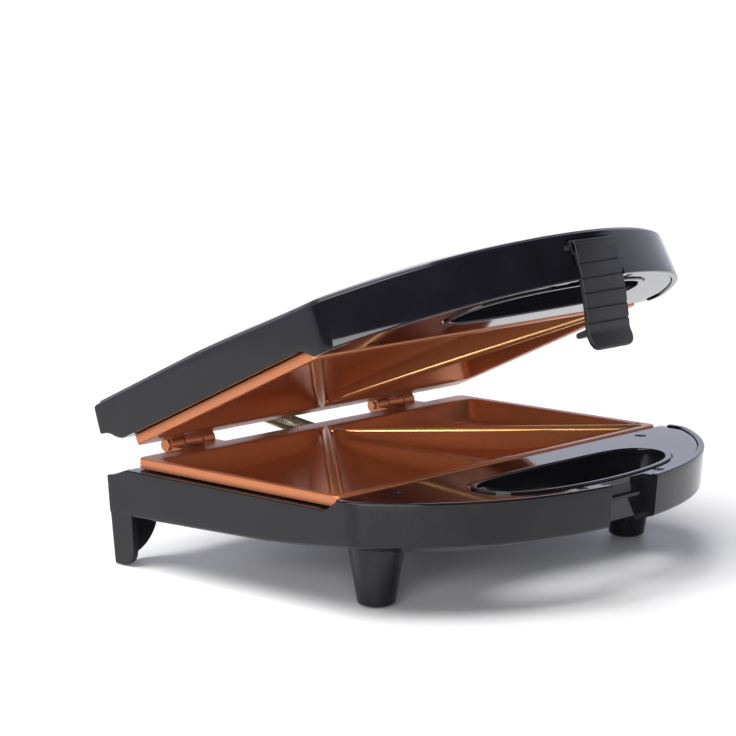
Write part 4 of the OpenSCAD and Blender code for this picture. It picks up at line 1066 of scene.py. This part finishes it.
# ------------------------------------------------------------------ latch, feet and conduit
@dataclass
class Latch:
    """Strap latch: barrel, leaning strap with cross grooves, hook and flared lip."""

    width: float = 29.0
    thick: float = 2.4
    top_r: float = 3.4
    strap_up: float = 2.4
    strap_len: float = 37.9
    lean_top: float = 5.5
    lean_end: float = 18.5
    lip_lean: float = -3.0
    lip_len: float = 6.5
    lip_corner: float = 5.0
    pivot: tuple[float, float] = (-193.9, 65.6)
    hook_reach: float = 4.4
    groove_d: float = 0.55
    groove_hw: float = 0.42
    groove_from: float = 0.03
    groove_step: float = 0.171
    bend: float = 1.5
    section_r: float = 0.55
    end_r: float = 1.1
    barrel_edge: float = 0.5
    nose_r: float = 1.3
    hook_h: float = 2.2

    def make(self) -> bpy.types.Object:
        """Build the latch.

        The strap's middle line has the lean angle as a function of its length s, and its points
        are the sums of (sin lean, -cos lean) ds. Each section is a rounded rectangle whose outer
        side dips at the grooves and whose half width falls along a circle at the lip's corners.

        Returns:
            The latch.
        """
        bend = self.bend
        total = self.strap_len + bend + self.lip_len
        s = np.linspace(-self.strap_up, total, 640)
        lean = np.interp(
            s,
            [0, self.strap_len - 1.0, self.strap_len + bend - 0.6, total],
            [self.lean_top, self.lean_end, self.lip_lean, self.lip_lean],
        )
        lean = np.radians(np.convolve(np.pad(lean, 10, mode="edge"), np.ones(21) / 21, mode="valid"))
        ds = s[1] - s[0]
        first = math.radians(self.lean_top)
        y0 = self.pivot[0] - self.top_r * math.cos(first) + self.thick / 2 * math.cos(first)
        z0 = self.pivot[1] + self.thick / 2 * math.sin(first)
        middle = (lean[1:] + lean[:-1]) / 2
        y = y0 + np.concatenate([[0], np.cumsum(np.sin(middle)) * ds]) - self.strap_up * math.sin(first)
        z = z0 - np.concatenate([[0], np.cumsum(np.cos(middle)) * ds]) + self.strap_up * math.cos(first)
        depth = np.column_stack([np.cos(lean), np.sin(lean)])
        left = total - s
        c = self.lip_corner
        half = self.width / 2 - np.where(left < c, c - np.sqrt(np.maximum(c * c - (c - left) ** 2, 0)), 0)
        places = (self.groove_from + self.groove_step * np.arange(1, 6)) * self.strap_len
        dip = sum(self.groove_d * np.exp(-(((s - v) / self.groove_hw) ** 4)) for v in places)
        near = np.minimum(left, s + self.strap_up + 0.15)
        k = np.clip(near / self.end_r, 0, 1)
        end = np.sqrt(k * (2 - k))
        # section: rounded rectangle as (across, through), through < 0 on the outer side
        corner = np.linspace(0, math.pi / 2, 5)
        r = self.section_r
        cx, cz = 1.0, self.thick / 2 - r
        quads = []
        for sx, sz, a0 in ((1, 1, 0.0), (-1, 1, math.pi / 2), (-1, -1, math.pi), (1, -1, 3 * math.pi / 2)):
            quads.append(np.column_stack([
                np.full(5, sx * cx), r * np.cos(corner + a0), sz * cz + r * np.sin(corner + a0)
            ]))
        sec = np.concatenate(quads)
        across = sec[None, :, 0] * (half[:, None] - r) + sec[None, :, 1]
        through = sec[None, :, 2] * end[:, None]
        through = np.where(sec[None, :, 2] < 0, through + dip[:, None] * (sec[None, :, 2] < -0.3), through)
        p = np.stack([
            across,
            y[:, None] + through * depth[:, 0][:, None],
            z[:, None] + through * depth[:, 1][:, None],
        ], axis=-1)
        surface = Surface()
        surface.grid(p, wrap_cols=True, flip=True)
        surface.cap(p[0])
        surface.cap(p[-1], flip=True)
        # barrel at the pivot
        t = np.linspace(0, 2 * math.pi, 48, endpoint=False)
        side, r = -self.width / 2, self.top_r
        ends = [(side, r - self.barrel_edge), (side + 0.15, r - 0.15), (side + self.barrel_edge, r)]
        ends += [(-x, rr) for x, rr in ends[::-1]]
        barrel = np.stack([
            np.column_stack([np.full(48, x), self.pivot[0] + rr * np.cos(t), self.pivot[1] + rr * np.sin(t)])
            for x, rr in ends
        ])
        surface.grid(barrel, wrap_cols=True)
        surface.cap(barrel[0], flip=True)
        surface.cap(barrel[-1])
        # hook that reaches in under the catch
        k = int(np.searchsorted(s, self.strap_len))
        ey, ez = y[k] - self.thick / 2 * depth[k, 0], z[k] - self.thick / 2 * depth[k, 1]
        nose = np.linspace(-math.pi / 2, math.pi / 2, 13)
        reach = self.thick + self.hook_reach - 0.9
        hook = np.concatenate([
            [[ey + 0.5, ez + self.hook_h]], [[ey + 0.5, ez - 0.4]],
            np.column_stack([
                ey + 0.5 + reach + self.nose_r * np.cos(nose), ez + 0.9 + self.nose_r * np.sin(nose)
            ]),
        ])
        hw = self.width / 2 - 0.2
        hp = np.stack([np.column_stack([np.full(len(hook), v), hook]) for v in (-hw, hw)])
        surface.grid(hp, wrap_cols=True)
        surface.cap(hp[0], flip=True)
        surface.cap(hp[1])
        return surface.build("latch_strap", Place.CLOSED_LID, orient=True)


@dataclass
class FrontFoot:
    """Tapered round foot, turned about its own axis."""

    x: float = 89.0
    y: float = -125.0
    bottom_d: float = 17.0
    top_d: float = 25.0
    proud: float = 0.6
    edge_r: float = 1.5
    pad_wall: float = 2.45

    def make(self, side: int) -> bpy.types.Object:
        """Build one foot by turning its (radius, height) profile.

        Args:
            side: 1 for the right foot, -1 for the left.

        Returns:
            The foot.
        """
        r, e, top = self.bottom_d / 2, self.edge_r, LAYOUT.floor_z + 0.4
        t = np.linspace(-math.pi / 2, 0, 6)
        round_r = np.column_stack([r - e + e * np.cos(t), self.proud + e + e * np.sin(t)])
        k = np.linspace(0, 1, 12)[1:, None]
        wall = np.array([[r, self.proud + e]]) * (1 - k) + np.array([[self.top_d / 2, top]]) * k
        hole = self.bottom_d / 2 - self.pad_wall
        recess = [[0.001, self.proud + 0.4], [hole, self.proud + 0.4], [hole, self.proud]]
        profile = np.concatenate([recess, round_r, wall, [[0.001, top]]])
        a = np.linspace(0, 2 * math.pi, 96, endpoint=False)
        p = np.stack([
            side * self.x + profile[:, :1] * np.cos(a),
            self.y + profile[:, :1] * np.sin(a),
            profile[:, 1:] + 0 * a,
        ], axis=-1)
        surface = Surface()
        surface.grid(p, wrap_cols=True)
        return surface.build(f"foot_{'right' if side > 0 else 'left'}", Place.CLOSED)


@dataclass(frozen=True)
class Conduit:
    """Close-wound wire guard between the two housings."""

    base_end: tuple[float, float] = (27.0, -4.0)
    lid_end: tuple[float, float] = (-30.0, -4.0)
    cross_x: float = -5.0
    slope: float = 0.4
    bend_run: float = 8.0
    wire_d: float = 0.9
    radius: float = 3.7
    turns: int = 40
    wound_from: float = 2.3
    tail: float = 1.2
    seat_r: float = 4.95
    per_turn: int = 20
    sides: int = 10

    def reach(self, end: tuple[float, float]) -> np.ndarray:
        """Vector from the crossing point to an end's bush, in the closed product."""
        return np.array([end[0] - self.cross_x, end[1], -(end[0] - self.cross_x) * self.slope])

    def crossing(self) -> np.ndarray:
        """Point on the hinge axis where the two straight halves meet."""
        return np.array([self.cross_x, LAYOUT.hinge_y, LAYOUT.hinge_z])

    def legs(self) -> tuple[np.ndarray, np.ndarray]:
        """Vectors to the base's bush and to the opened lid's bush."""
        lid = opened(self.crossing() + self.reach(self.lid_end)) - self.crossing()
        return self.reach(self.base_end), lid

    def at(self, s: np.ndarray) -> np.ndarray:
        """Middle line at lengths s from the crossing: two straight runs joined by a parabola."""
        base, lid = self.legs()
        a, b = -base / np.linalg.norm(base), lid / np.linalg.norm(lid)
        r = self.bend_run
        before = np.where(s < -r, s, np.where(s < r, -((r - s) ** 2) / (4 * r), 0))
        after = np.where(s > r, s, np.where(s > -r, (r + s) ** 2 / (4 * r), 0))
        return self.crossing() + before[:, None] * a + after[:, None] * b

    def seat_cutter(self, name: str, at_base: bool) -> bpy.types.Object:
        """Round hole along the conduit for its bush."""
        end = self.base_end if at_base else self.lid_end
        v = self.reach(end)
        face = self.crossing() + v
        w = -v / np.linalg.norm(v)
        place = Place.CLOSED if at_base else Place.CLOSED_LID
        return rod(name, face - w * 6.0, face + w * 26.0, self.seat_r, place)

    def make(self) -> bpy.types.Object:
        """Build the winding as one tube.

        The wire's middle is the middle line plus radius times (cos a, sin a) in the line's own
        frame, with a growing by one turn for each pitch; its straight ends run into the bushes.

        Returns:
            The conduit.
        """
        base, lid = self.legs()
        lo, hi = -np.linalg.norm(base) + self.wound_from, np.linalg.norm(lid) - self.wound_from
        n = self.turns * self.per_turn
        i = np.arange(n + 1)
        s = lo + (hi - lo) * i / n
        w = self.at(s + 0.05) - self.at(s - 0.05)
        w /= np.linalg.norm(w, axis=1)[:, None]
        u = np.cross(w, [0.0, 1.0, 0.0])
        u /= np.linalg.norm(u, axis=1)[:, None]
        v = np.cross(w, u)
        a = (2 * math.pi * i / self.per_turn)[:, None]
        radial = np.cos(a) * u + np.sin(a) * v
        path = self.at(s) + self.radius * radial
        start, stop = -base / np.linalg.norm(base), lid / np.linalg.norm(lid)
        before = [path[0] - v * start for v in (self.wound_from, self.tail)]
        after = [path[-1] + v * stop for v in (self.tail, self.wound_from)]
        path = np.concatenate([before, path, after])
        radial = np.concatenate([radial[:1], radial[:1], radial, radial[-1:], radial[-1:]])
        along = np.gradient(path, axis=0)
        along /= np.linalg.norm(along, axis=1)[:, None]
        side = radial - np.sum(radial * along, axis=1)[:, None] * along
        side /= np.linalg.norm(side, axis=1)[:, None]
        up = np.cross(along, side)
        t = np.linspace(0, 2 * math.pi, self.sides, endpoint=False)
        ring = np.cos(t)[None, :, None] * side[:, None] + np.sin(t)[None, :, None] * up[:, None]
        p = path[:, None] + self.wire_d / 2 * ring
        surface = Surface()
        surface.grid(p, wrap_cols=True)
        surface.cap(p[0], flip=True)
        surface.cap(p[-1])
        return surface.build("wire_guard", Place.CLOSED, smooth_deg=60.0)


CONDUIT = Conduit()


# ------------------------------------------------------------------ finishes
class Nodes:
    """Short hand for a material's node tree."""

    def __init__(self, name: str) -> None:
        """Make a material with only its surface shader and output."""
        self.material = bpy.data.materials.new(name)
        self.material.use_nodes = True
        self.tree = self.material.node_tree
        self.shader = next(n for n in self.tree.nodes if n.type == "BSDF_PRINCIPLED")

    def add(self, kind: str, **settings: object) -> bpy.types.Node:
        """Add a node and set its properties, or its sockets by name."""
        node = self.tree.nodes.new(kind)
        for key, value in settings.items():
            if hasattr(node, key):
                setattr(node, key, value)
            else:
                node.inputs[key.replace("_", " ")].default_value = value
        return node

    def link(self, a: bpy.types.NodeSocket, b: bpy.types.NodeSocket) -> None:
        """Join two sockets."""
        self.tree.links.new(a, b)

    def noise(
        self, scale: float, detail: float = 2.0, stretch: tuple[float, float, float] = (1, 1, 1)
    ) -> bpy.types.NodeSocket:
        """Noise on Object coordinates, stretched along the axes."""
        place = self.add("ShaderNodeTexCoord")
        mapping = self.add("ShaderNodeMapping")
        mapping.inputs["Scale"].default_value = stretch
        tex = self.add("ShaderNodeTexNoise", Scale=scale, Detail=detail)
        self.link(place.outputs["Object"], mapping.inputs["Vector"])
        self.link(mapping.outputs["Vector"], tex.inputs["Vector"])
        return tex.outputs["Fac"]

    def range(
        self, value: bpy.types.NodeSocket, low: float, high: float, start: float = 0.3, end: float = 0.7
    ) -> bpy.types.NodeSocket:
        """Map a value from start..end to low..high."""
        node = self.add("ShaderNodeMapRange")
        for key, v in (("From Min", start), ("From Max", end), ("To Min", low), ("To Max", high)):
            node.inputs[key].default_value = v
        self.link(value, node.inputs["Value"])
        return node.outputs["Result"]

    def tones(self, value: bpy.types.NodeSocket, a: tuple[float, ...], b: tuple[float, ...]) -> None:
        """Vary the base colour between two tones."""
        ramp = self.add("ShaderNodeValToRGB")
        ramp.color_ramp.elements[0].color = (*a, 1)
        ramp.color_ramp.elements[1].color = (*b, 1)
        ramp.color_ramp.elements[0].position = 0.3
        ramp.color_ramp.elements[1].position = 0.7
        self.link(value, ramp.inputs["Fac"])
        self.link(ramp.outputs["Color"], self.shader.inputs["Base Color"])

    def bump(self, value: bpy.types.NodeSocket, strength: float, distance: float) -> None:
        """Raise the surface by a value."""
        node = self.add("ShaderNodeBump")
        node.inputs["Strength"].default_value = strength
        node.inputs["Distance"].default_value = distance
        self.link(value, node.inputs["Height"])
        self.link(node.outputs["Normal"], self.shader.inputs["Normal"])


@dataclass(frozen=True)
class Finish:
    """A plain finish: colour that varies a little, roughness and a fine surface."""

    name: str
    slot: str
    dark: tuple[float, float, float]
    light: tuple[float, float, float]
    rough: tuple[float, float] = (0.3, 0.4)
    metallic: float = 0.0
    tone_scale: float = 60.0
    grain_scale: float = 900.0
    grain: float = 0.00002
    grain_strength: float = 0.3
    stretch: tuple[float, float, float] = (1, 1, 1)
    coat: float = 0.0
    ior: float = 1.5

    def material(self) -> bpy.types.Material:
        """Build the finish's material."""
        n = Nodes(self.name)
        n.shader.inputs["Metallic"].default_value = self.metallic
        n.shader.inputs["IOR"].default_value = self.ior
        n.shader.inputs["Coat Weight"].default_value = self.coat
        n.tones(n.noise(self.tone_scale, 3.0, self.stretch), self.dark, self.light)
        n.link(n.range(n.noise(self.tone_scale * 2.3, 4.0, self.stretch), *self.rough), n.shader.inputs["Roughness"])
        n.bump(n.noise(self.grain_scale, 2.0, self.stretch), self.grain_strength, self.grain)
        return n.material


@dataclass(frozen=True)
class Lens:
    """Clear coloured lamp lens."""

    name: str
    slot: str
    colour: tuple[float, float, float]

    def material(self) -> bpy.types.Material:
        """Build the lens material."""
        n = Nodes(self.name)
        n.tones(n.noise(300.0), tuple(0.85 * c for c in self.colour), self.colour)
        n.link(n.range(n.noise(500.0), 0.06, 0.14), n.shader.inputs["Roughness"])
        n.shader.inputs["Coat Weight"].default_value = 0.6
        n.shader.inputs["Transmission Weight"].default_value = 0.35
        return n.material


class Shop(Enum):
    """Every finish on the toaster."""

    HOUSING = Finish(
        "gloss_black_moulding", "housing_black", (0.006, 0.006, 0.008), (0.009, 0.009, 0.012), (0.07, 0.12),
        ior=1.38, grain_scale=260.0, grain=0.00001, grain_strength=0.04,
    )
    COVER = Finish(
        "polished_black_cover", "cover_black", (0.006, 0.006, 0.008), (0.009, 0.009, 0.011), (0.035, 0.06),
        grain_scale=160.0, grain=0.00001, grain_strength=0.06,
    )
    COPPER = Finish(
        "copper_tone_coating", "coated_casting", (0.52, 0.182, 0.076), (0.55, 0.195, 0.083), (0.27, 0.32),
        metallic=0.55, tone_scale=700.0, grain_scale=2600.0, grain=0.00002, grain_strength=0.1,
    )
    # ridge beads: a lighter, more metallic gold than the coating, a painted highlight that stands for the bright
    # backdrop mirrored along the ridge tops
    RIDGE_PAINTED_HIGHLIGHT = Finish(
        "ridge_painted_highlight", "coated_casting", (0.80, 0.42, 0.17), (0.92, 0.52, 0.23), (0.24, 0.34),
        metallic=0.9, tone_scale=1500.0, grain_scale=2600.0, grain=0.00003, grain_strength=0.3,
    )
    BRAID = Finish(
        "brass_tinted_wire", "spring_steel", (0.30, 0.26, 0.15), (0.52, 0.46, 0.28), (0.25, 0.38),
        metallic=1.0, tone_scale=400.0,
    )
    DARK_STEEL = Finish(
        "blackened_steel", "dark_steel", (0.05, 0.05, 0.055), (0.09, 0.09, 0.095), (0.3, 0.45),
        metallic=0.8,
    )
    ZINC = Finish(
        "zinc_plated_steel", "zinc_steel", (0.5, 0.5, 0.5), (0.62, 0.62, 0.63), (0.22, 0.36),
        metallic=1.0, tone_scale=300.0,
    )
    ELEMENT = Finish(
        "heat_dark_tube", "element_steel", (0.20, 0.185, 0.175), (0.33, 0.31, 0.30), (0.35, 0.5),
        metallic=0.9, tone_scale=120.0,
    )
    TRAY = Finish(
        "bright_tinplate", "tray_steel", (0.62, 0.62, 0.62), (0.72, 0.72, 0.72), (0.2, 0.32),
        metallic=1.0, stretch=(0.1, 1, 1),
    )
    CERAMIC = Finish("white_heat_proof", "ceramic_white", (0.74, 0.72, 0.67), (0.84, 0.82, 0.77), (0.4, 0.55))
    RUBBER = Finish(
        "foot_rubber", "pad_rubber", (0.03, 0.03, 0.03), (0.05, 0.05, 0.05), (0.7, 0.85),
        grain_strength=0.6,
    )
    BUSH = Finish(
        "matt_bush", "bush_black", (0.025, 0.025, 0.025), (0.04, 0.04, 0.04), (0.5, 0.65),
        grain_strength=0.5,
    )
    LATCH = Finish(
        "fine_matt_black", "latch_black", (0.012, 0.012, 0.013), (0.018, 0.018, 0.020), (0.36, 0.46),
        ior=1.4, grain_scale=1800.0, grain=0.00004, grain_strength=0.45,
    )
    RED = Lens("red_lens", "lens_red", (0.62, 0.02, 0.012))
    GREEN = Lens("green_lens", "lens_green", (0.03, 0.42, 0.07))


class Painter:
    """Gives finishes to pieces and to carried-over nodes, each material made once."""

    KEPT = {
        "base_cover_screws": Shop.DARK_STEEL, "lid_cover_screws": Shop.DARK_STEEL, "base_screws": Shop.ZINC,
        "lower_element": Shop.ELEMENT, "upper_element": Shop.ELEMENT, "lower_element_clips": Shop.ZINC,
        "upper_element_clips": Shop.ZINC, "lower_reflector": Shop.TRAY, "upper_reflector": Shop.TRAY,
        "thermostat": Shop.CERAMIC, "thermal_fuse": Shop.CERAMIC, "foot_pads": Shop.RUBBER,
        "cord_inlet": Shop.BUSH, "conduit_socket": Shop.BUSH, "conduit_ferrule": Shop.BUSH,
        "hinge_pin_left": Shop.COPPER, "hinge_pin_right": Shop.COPPER, "latch_pin": Shop.DARK_STEEL,
        "pilot_lens_left": Shop.RED, "pilot_lens_right": Shop.GREEN,
    }

    def __init__(self) -> None:
        """Start with no material made."""
        self.made: dict[Shop, bpy.types.Material] = {}

    def coat(self, obj: bpy.types.Object, finish: Shop) -> None:
        """Give an object one finish."""
        if finish not in self.made:
            self.made[finish] = finish.value.material()
        obj.data.materials.clear()
        obj.data.materials.append(self.made[finish])

    def fit(self, obj: bpy.types.Object, finish: Shop, body: str, *nodes: str) -> None:
        """Finish a new piece, let it ride on its body and stand for its nodes."""
        self.coat(obj, finish)
        if body:
            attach(obj, body)
        if nodes:
            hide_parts(*nodes)
        LOG.info("%s: %d faces, %s", obj.name, len(obj.data.polygons), finish.value.name)

    def keep(self) -> None:
        """Finish every node that stays."""
        for name, finish in self.KEPT.items():
            node = frame["nodes"][name]
            if finish not in self.made:
                self.made[finish] = finish.value.material()
            for slot in node.material_slots:
                slot.material = self.made[finish]


# ------------------------------------------------------------------ studio
@dataclass
class Studio:
    """Pale floor, soft lights, bright backdrop and the camera at the photograph's angle."""

    eye: tuple[float, float, float] = (-0.8491, -0.8170, 0.2697)
    look: tuple[float, float, float] = (0.7275, 0.6670, -0.1608)
    lens: float = 121.1
    world_pale: tuple[float, float, float] = (0.88, 0.90, 1.06)
    world_dark: tuple[float, float, float] = (0.02, 0.02, 0.025)
    behind: tuple[float, float, float] = (0.737, 0.676, 0.0)
    limits: tuple[float, float] = (0.05, 0.5)
    sun_strength: float = 3.5
    sun_size: float = 50.0
    sun_way: tuple[float, float, float] = (0.35, -0.15, -1.0)

    def camera(self) -> None:
        """Place the camera."""
        data = bpy.data.cameras.new("camera")
        data.lens = self.lens
        data.sensor_width = 36.0
        cam = bpy.data.objects.new("camera", data)
        cam.location = (self.eye[0], self.eye[1] + LAYOUT.row_shift * MM, self.eye[2])
        cam.rotation_euler = Vector(self.look).to_track_quat("-Z", "Y").to_euler()
        bpy.context.scene.collection.objects.link(cam)
        bpy.context.scene.camera = cam

    def floor(self) -> None:
        """Lay a wide pale floor just under the feet."""
        r = np.array([0.0, 0.5, 1.5, 4.0, 12.0, 60.0])[:, None]
        a = np.linspace(0, 2 * math.pi, 64, endpoint=False)[None, :]
        p = np.stack([r * np.cos(a), r * np.sin(a), -0.0002 + 0 * r * a], axis=-1)
        surface = Surface()
        surface.grid(p / MM, wrap_cols=True, flip=True)
        obj = surface.build("floor", Place.ROW, orient=False)
        n = Nodes("pale_floor")
        n.tones(n.noise(6.0), (0.93, 0.93, 0.93), (0.95, 0.95, 0.95))
        n.link(n.range(n.noise(20.0), 0.45, 0.55), n.shader.inputs["Roughness"])
        obj.data.materials.append(n.material)

    def light(self, name: str, at: tuple[float, float, float], size: tuple[float, float], watts: float) -> None:
        """Hang one soft rectangular light that faces the toaster."""
        data = bpy.data.lights.new(name, "AREA")
        data.shape = "RECTANGLE"
        data.size, data.size_y = size
        data.energy = watts
        obj = bpy.data.objects.new(name, data)
        obj.location = at
        obj.rotation_euler = (Vector((0, 0, 0.08)) - Vector(at)).to_track_quat("-Z", "Y").to_euler()
        bpy.context.scene.collection.objects.link(obj)

    def world(self) -> None:
        """Backdrop by direction: pale low down and behind the toaster, dark above and in front.

        With t the direction's share along the view and z its height, it is pale where z is less
        than a limit that grows with t, so the housing's front mirrors the dark of the studio.
        """
        world = bpy.data.worlds.new("studio")
        world.use_nodes = True
        tree = world.node_tree

        def ranged(
            value: bpy.types.NodeSocket, start: float, end: float, low: float, high: float
        ) -> bpy.types.NodeSocket:
            """Map a value from start..end to low..high."""
            node = tree.nodes.new("ShaderNodeMapRange")
            for key, v in (("From Min", start), ("From Max", end), ("To Min", low), ("To Max", high)):
                node.inputs[key].default_value = v
            tree.links.new(value, node.inputs["Value"])
            return node.outputs["Result"]

        coords = tree.nodes.new("ShaderNodeTexCoord")
        split = tree.nodes.new("ShaderNodeSeparateXYZ")
        along = tree.nodes.new("ShaderNodeVectorMath")
        along.operation = "DOT_PRODUCT"
        along.inputs[1].default_value = self.behind
        over = tree.nodes.new("ShaderNodeMath")
        over.operation = "SUBTRACT"
        ramp = tree.nodes.new("ShaderNodeValToRGB")
        for element, colour in zip(ramp.color_ramp.elements, (self.world_pale, self.world_dark)):
            element.color = (*colour, 1)
        back = next(n for n in tree.nodes if n.type == "BACKGROUND")
        back.inputs["Strength"].default_value = 1.0
        tree.links.new(coords.outputs["Generated"], split.inputs["Vector"])
        tree.links.new(coords.outputs["Generated"], along.inputs[0])
        tree.links.new(split.outputs["Z"], over.inputs[0])
        tree.links.new(ranged(along.outputs["Value"], -0.4, 0.8, *self.limits), over.inputs[1])
        tree.links.new(ranged(over.outputs["Value"], 0.0, 0.12, 0.0, 1.0), ramp.inputs["Fac"])
        tree.links.new(ramp.outputs["Color"], back.inputs["Color"])
        bpy.context.scene.world = world

    def sun(self) -> None:
        """Hang the wide overhead light that brightens the floor evenly."""
        data = bpy.data.lights.new("overhead", "SUN")
        data.energy = self.sun_strength
        data.angle = math.radians(self.sun_size)
        obj = bpy.data.objects.new("overhead", data)
        obj.rotation_euler = Vector(self.sun_way).to_track_quat("-Z", "Y").to_euler()
        bpy.context.scene.collection.objects.link(obj)

    def build(self) -> None:
        """Set the whole studio."""
        self.camera()
        self.floor()
        self.world()
        self.sun()
        self.light("front", (-1.2, -0.72, 0.42), (0.9, 0.45), 12.0)
        self.light("key", (-1.3, 0.9, 0.9), (1.0, 0.8), 4.0)
        bpy.context.scene.view_settings.view_transform = "Standard"


# ------------------------------------------------------------------ assembly
def main() -> None:
    """Build every piece in order."""
    logging.basicConfig(level=logging.INFO, format="%(name)s: %(message)s")
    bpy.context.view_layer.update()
    Studio().build()
    paint = Painter()
    paint.keep()
    for piece in BaseHousing().make():
        paint.fit(piece, Shop.HOUSING, "base", "base_shell")
    paint.fit(Cover("front_cover", Place.BASE).make(), Shop.COVER, "base", "base_cover")
    for piece in LidHousing().make():
        paint.fit(piece, Shop.HOUSING, "lid", "lid_shell")
    paint.fit(Cover("lid_front_cover", Place.LID).make(), Shop.COVER, "lid", "lid_cover")
    outer = tuple((s * (LAYOUT.lug_x + k * LAYOUT.lug_step), LAYOUT.outer_lug_w) for s in (-1, 1) for k in (-1, 1))
    inner = tuple((s * LAYOUT.lug_x, LAYOUT.inner_lug_w) for s in (-1, 1))
    for plate, body, node in (
        (CookingPlate("lower_casting", Place.BASE, outer), "base", "lower_plate"),
        (CookingPlate("upper_casting", Place.LID, inner), "lid", "upper_plate"),
    ):
        paint.fit(plate.make(), Shop.COPPER, body, node)
        # the ridge beads carry the painted highlight gold finish
        for bead in plate.beads():
            paint.fit(bead, Shop.RIDGE_PAINTED_HIGHLIGHT, body, node)
    paint.fit(Latch().make(), Shop.LATCH, "latch", "latch")
    for side, node in ((-1, "front_foot_left"), (1, "front_foot_right")):
        paint.fit(FrontFoot().make(side), Shop.HOUSING, "base", node)
    guard = CONDUIT.make()
    paint.fit(guard, Shop.BRAID, "", "wire_conduit")
    ends = to_row(CONDUIT.at(np.array([-CONDUIT.bend_run, CONDUIT.bend_run])), Place.CLOSED)
    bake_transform(guard)


if __name__ == "__main__":
    main()
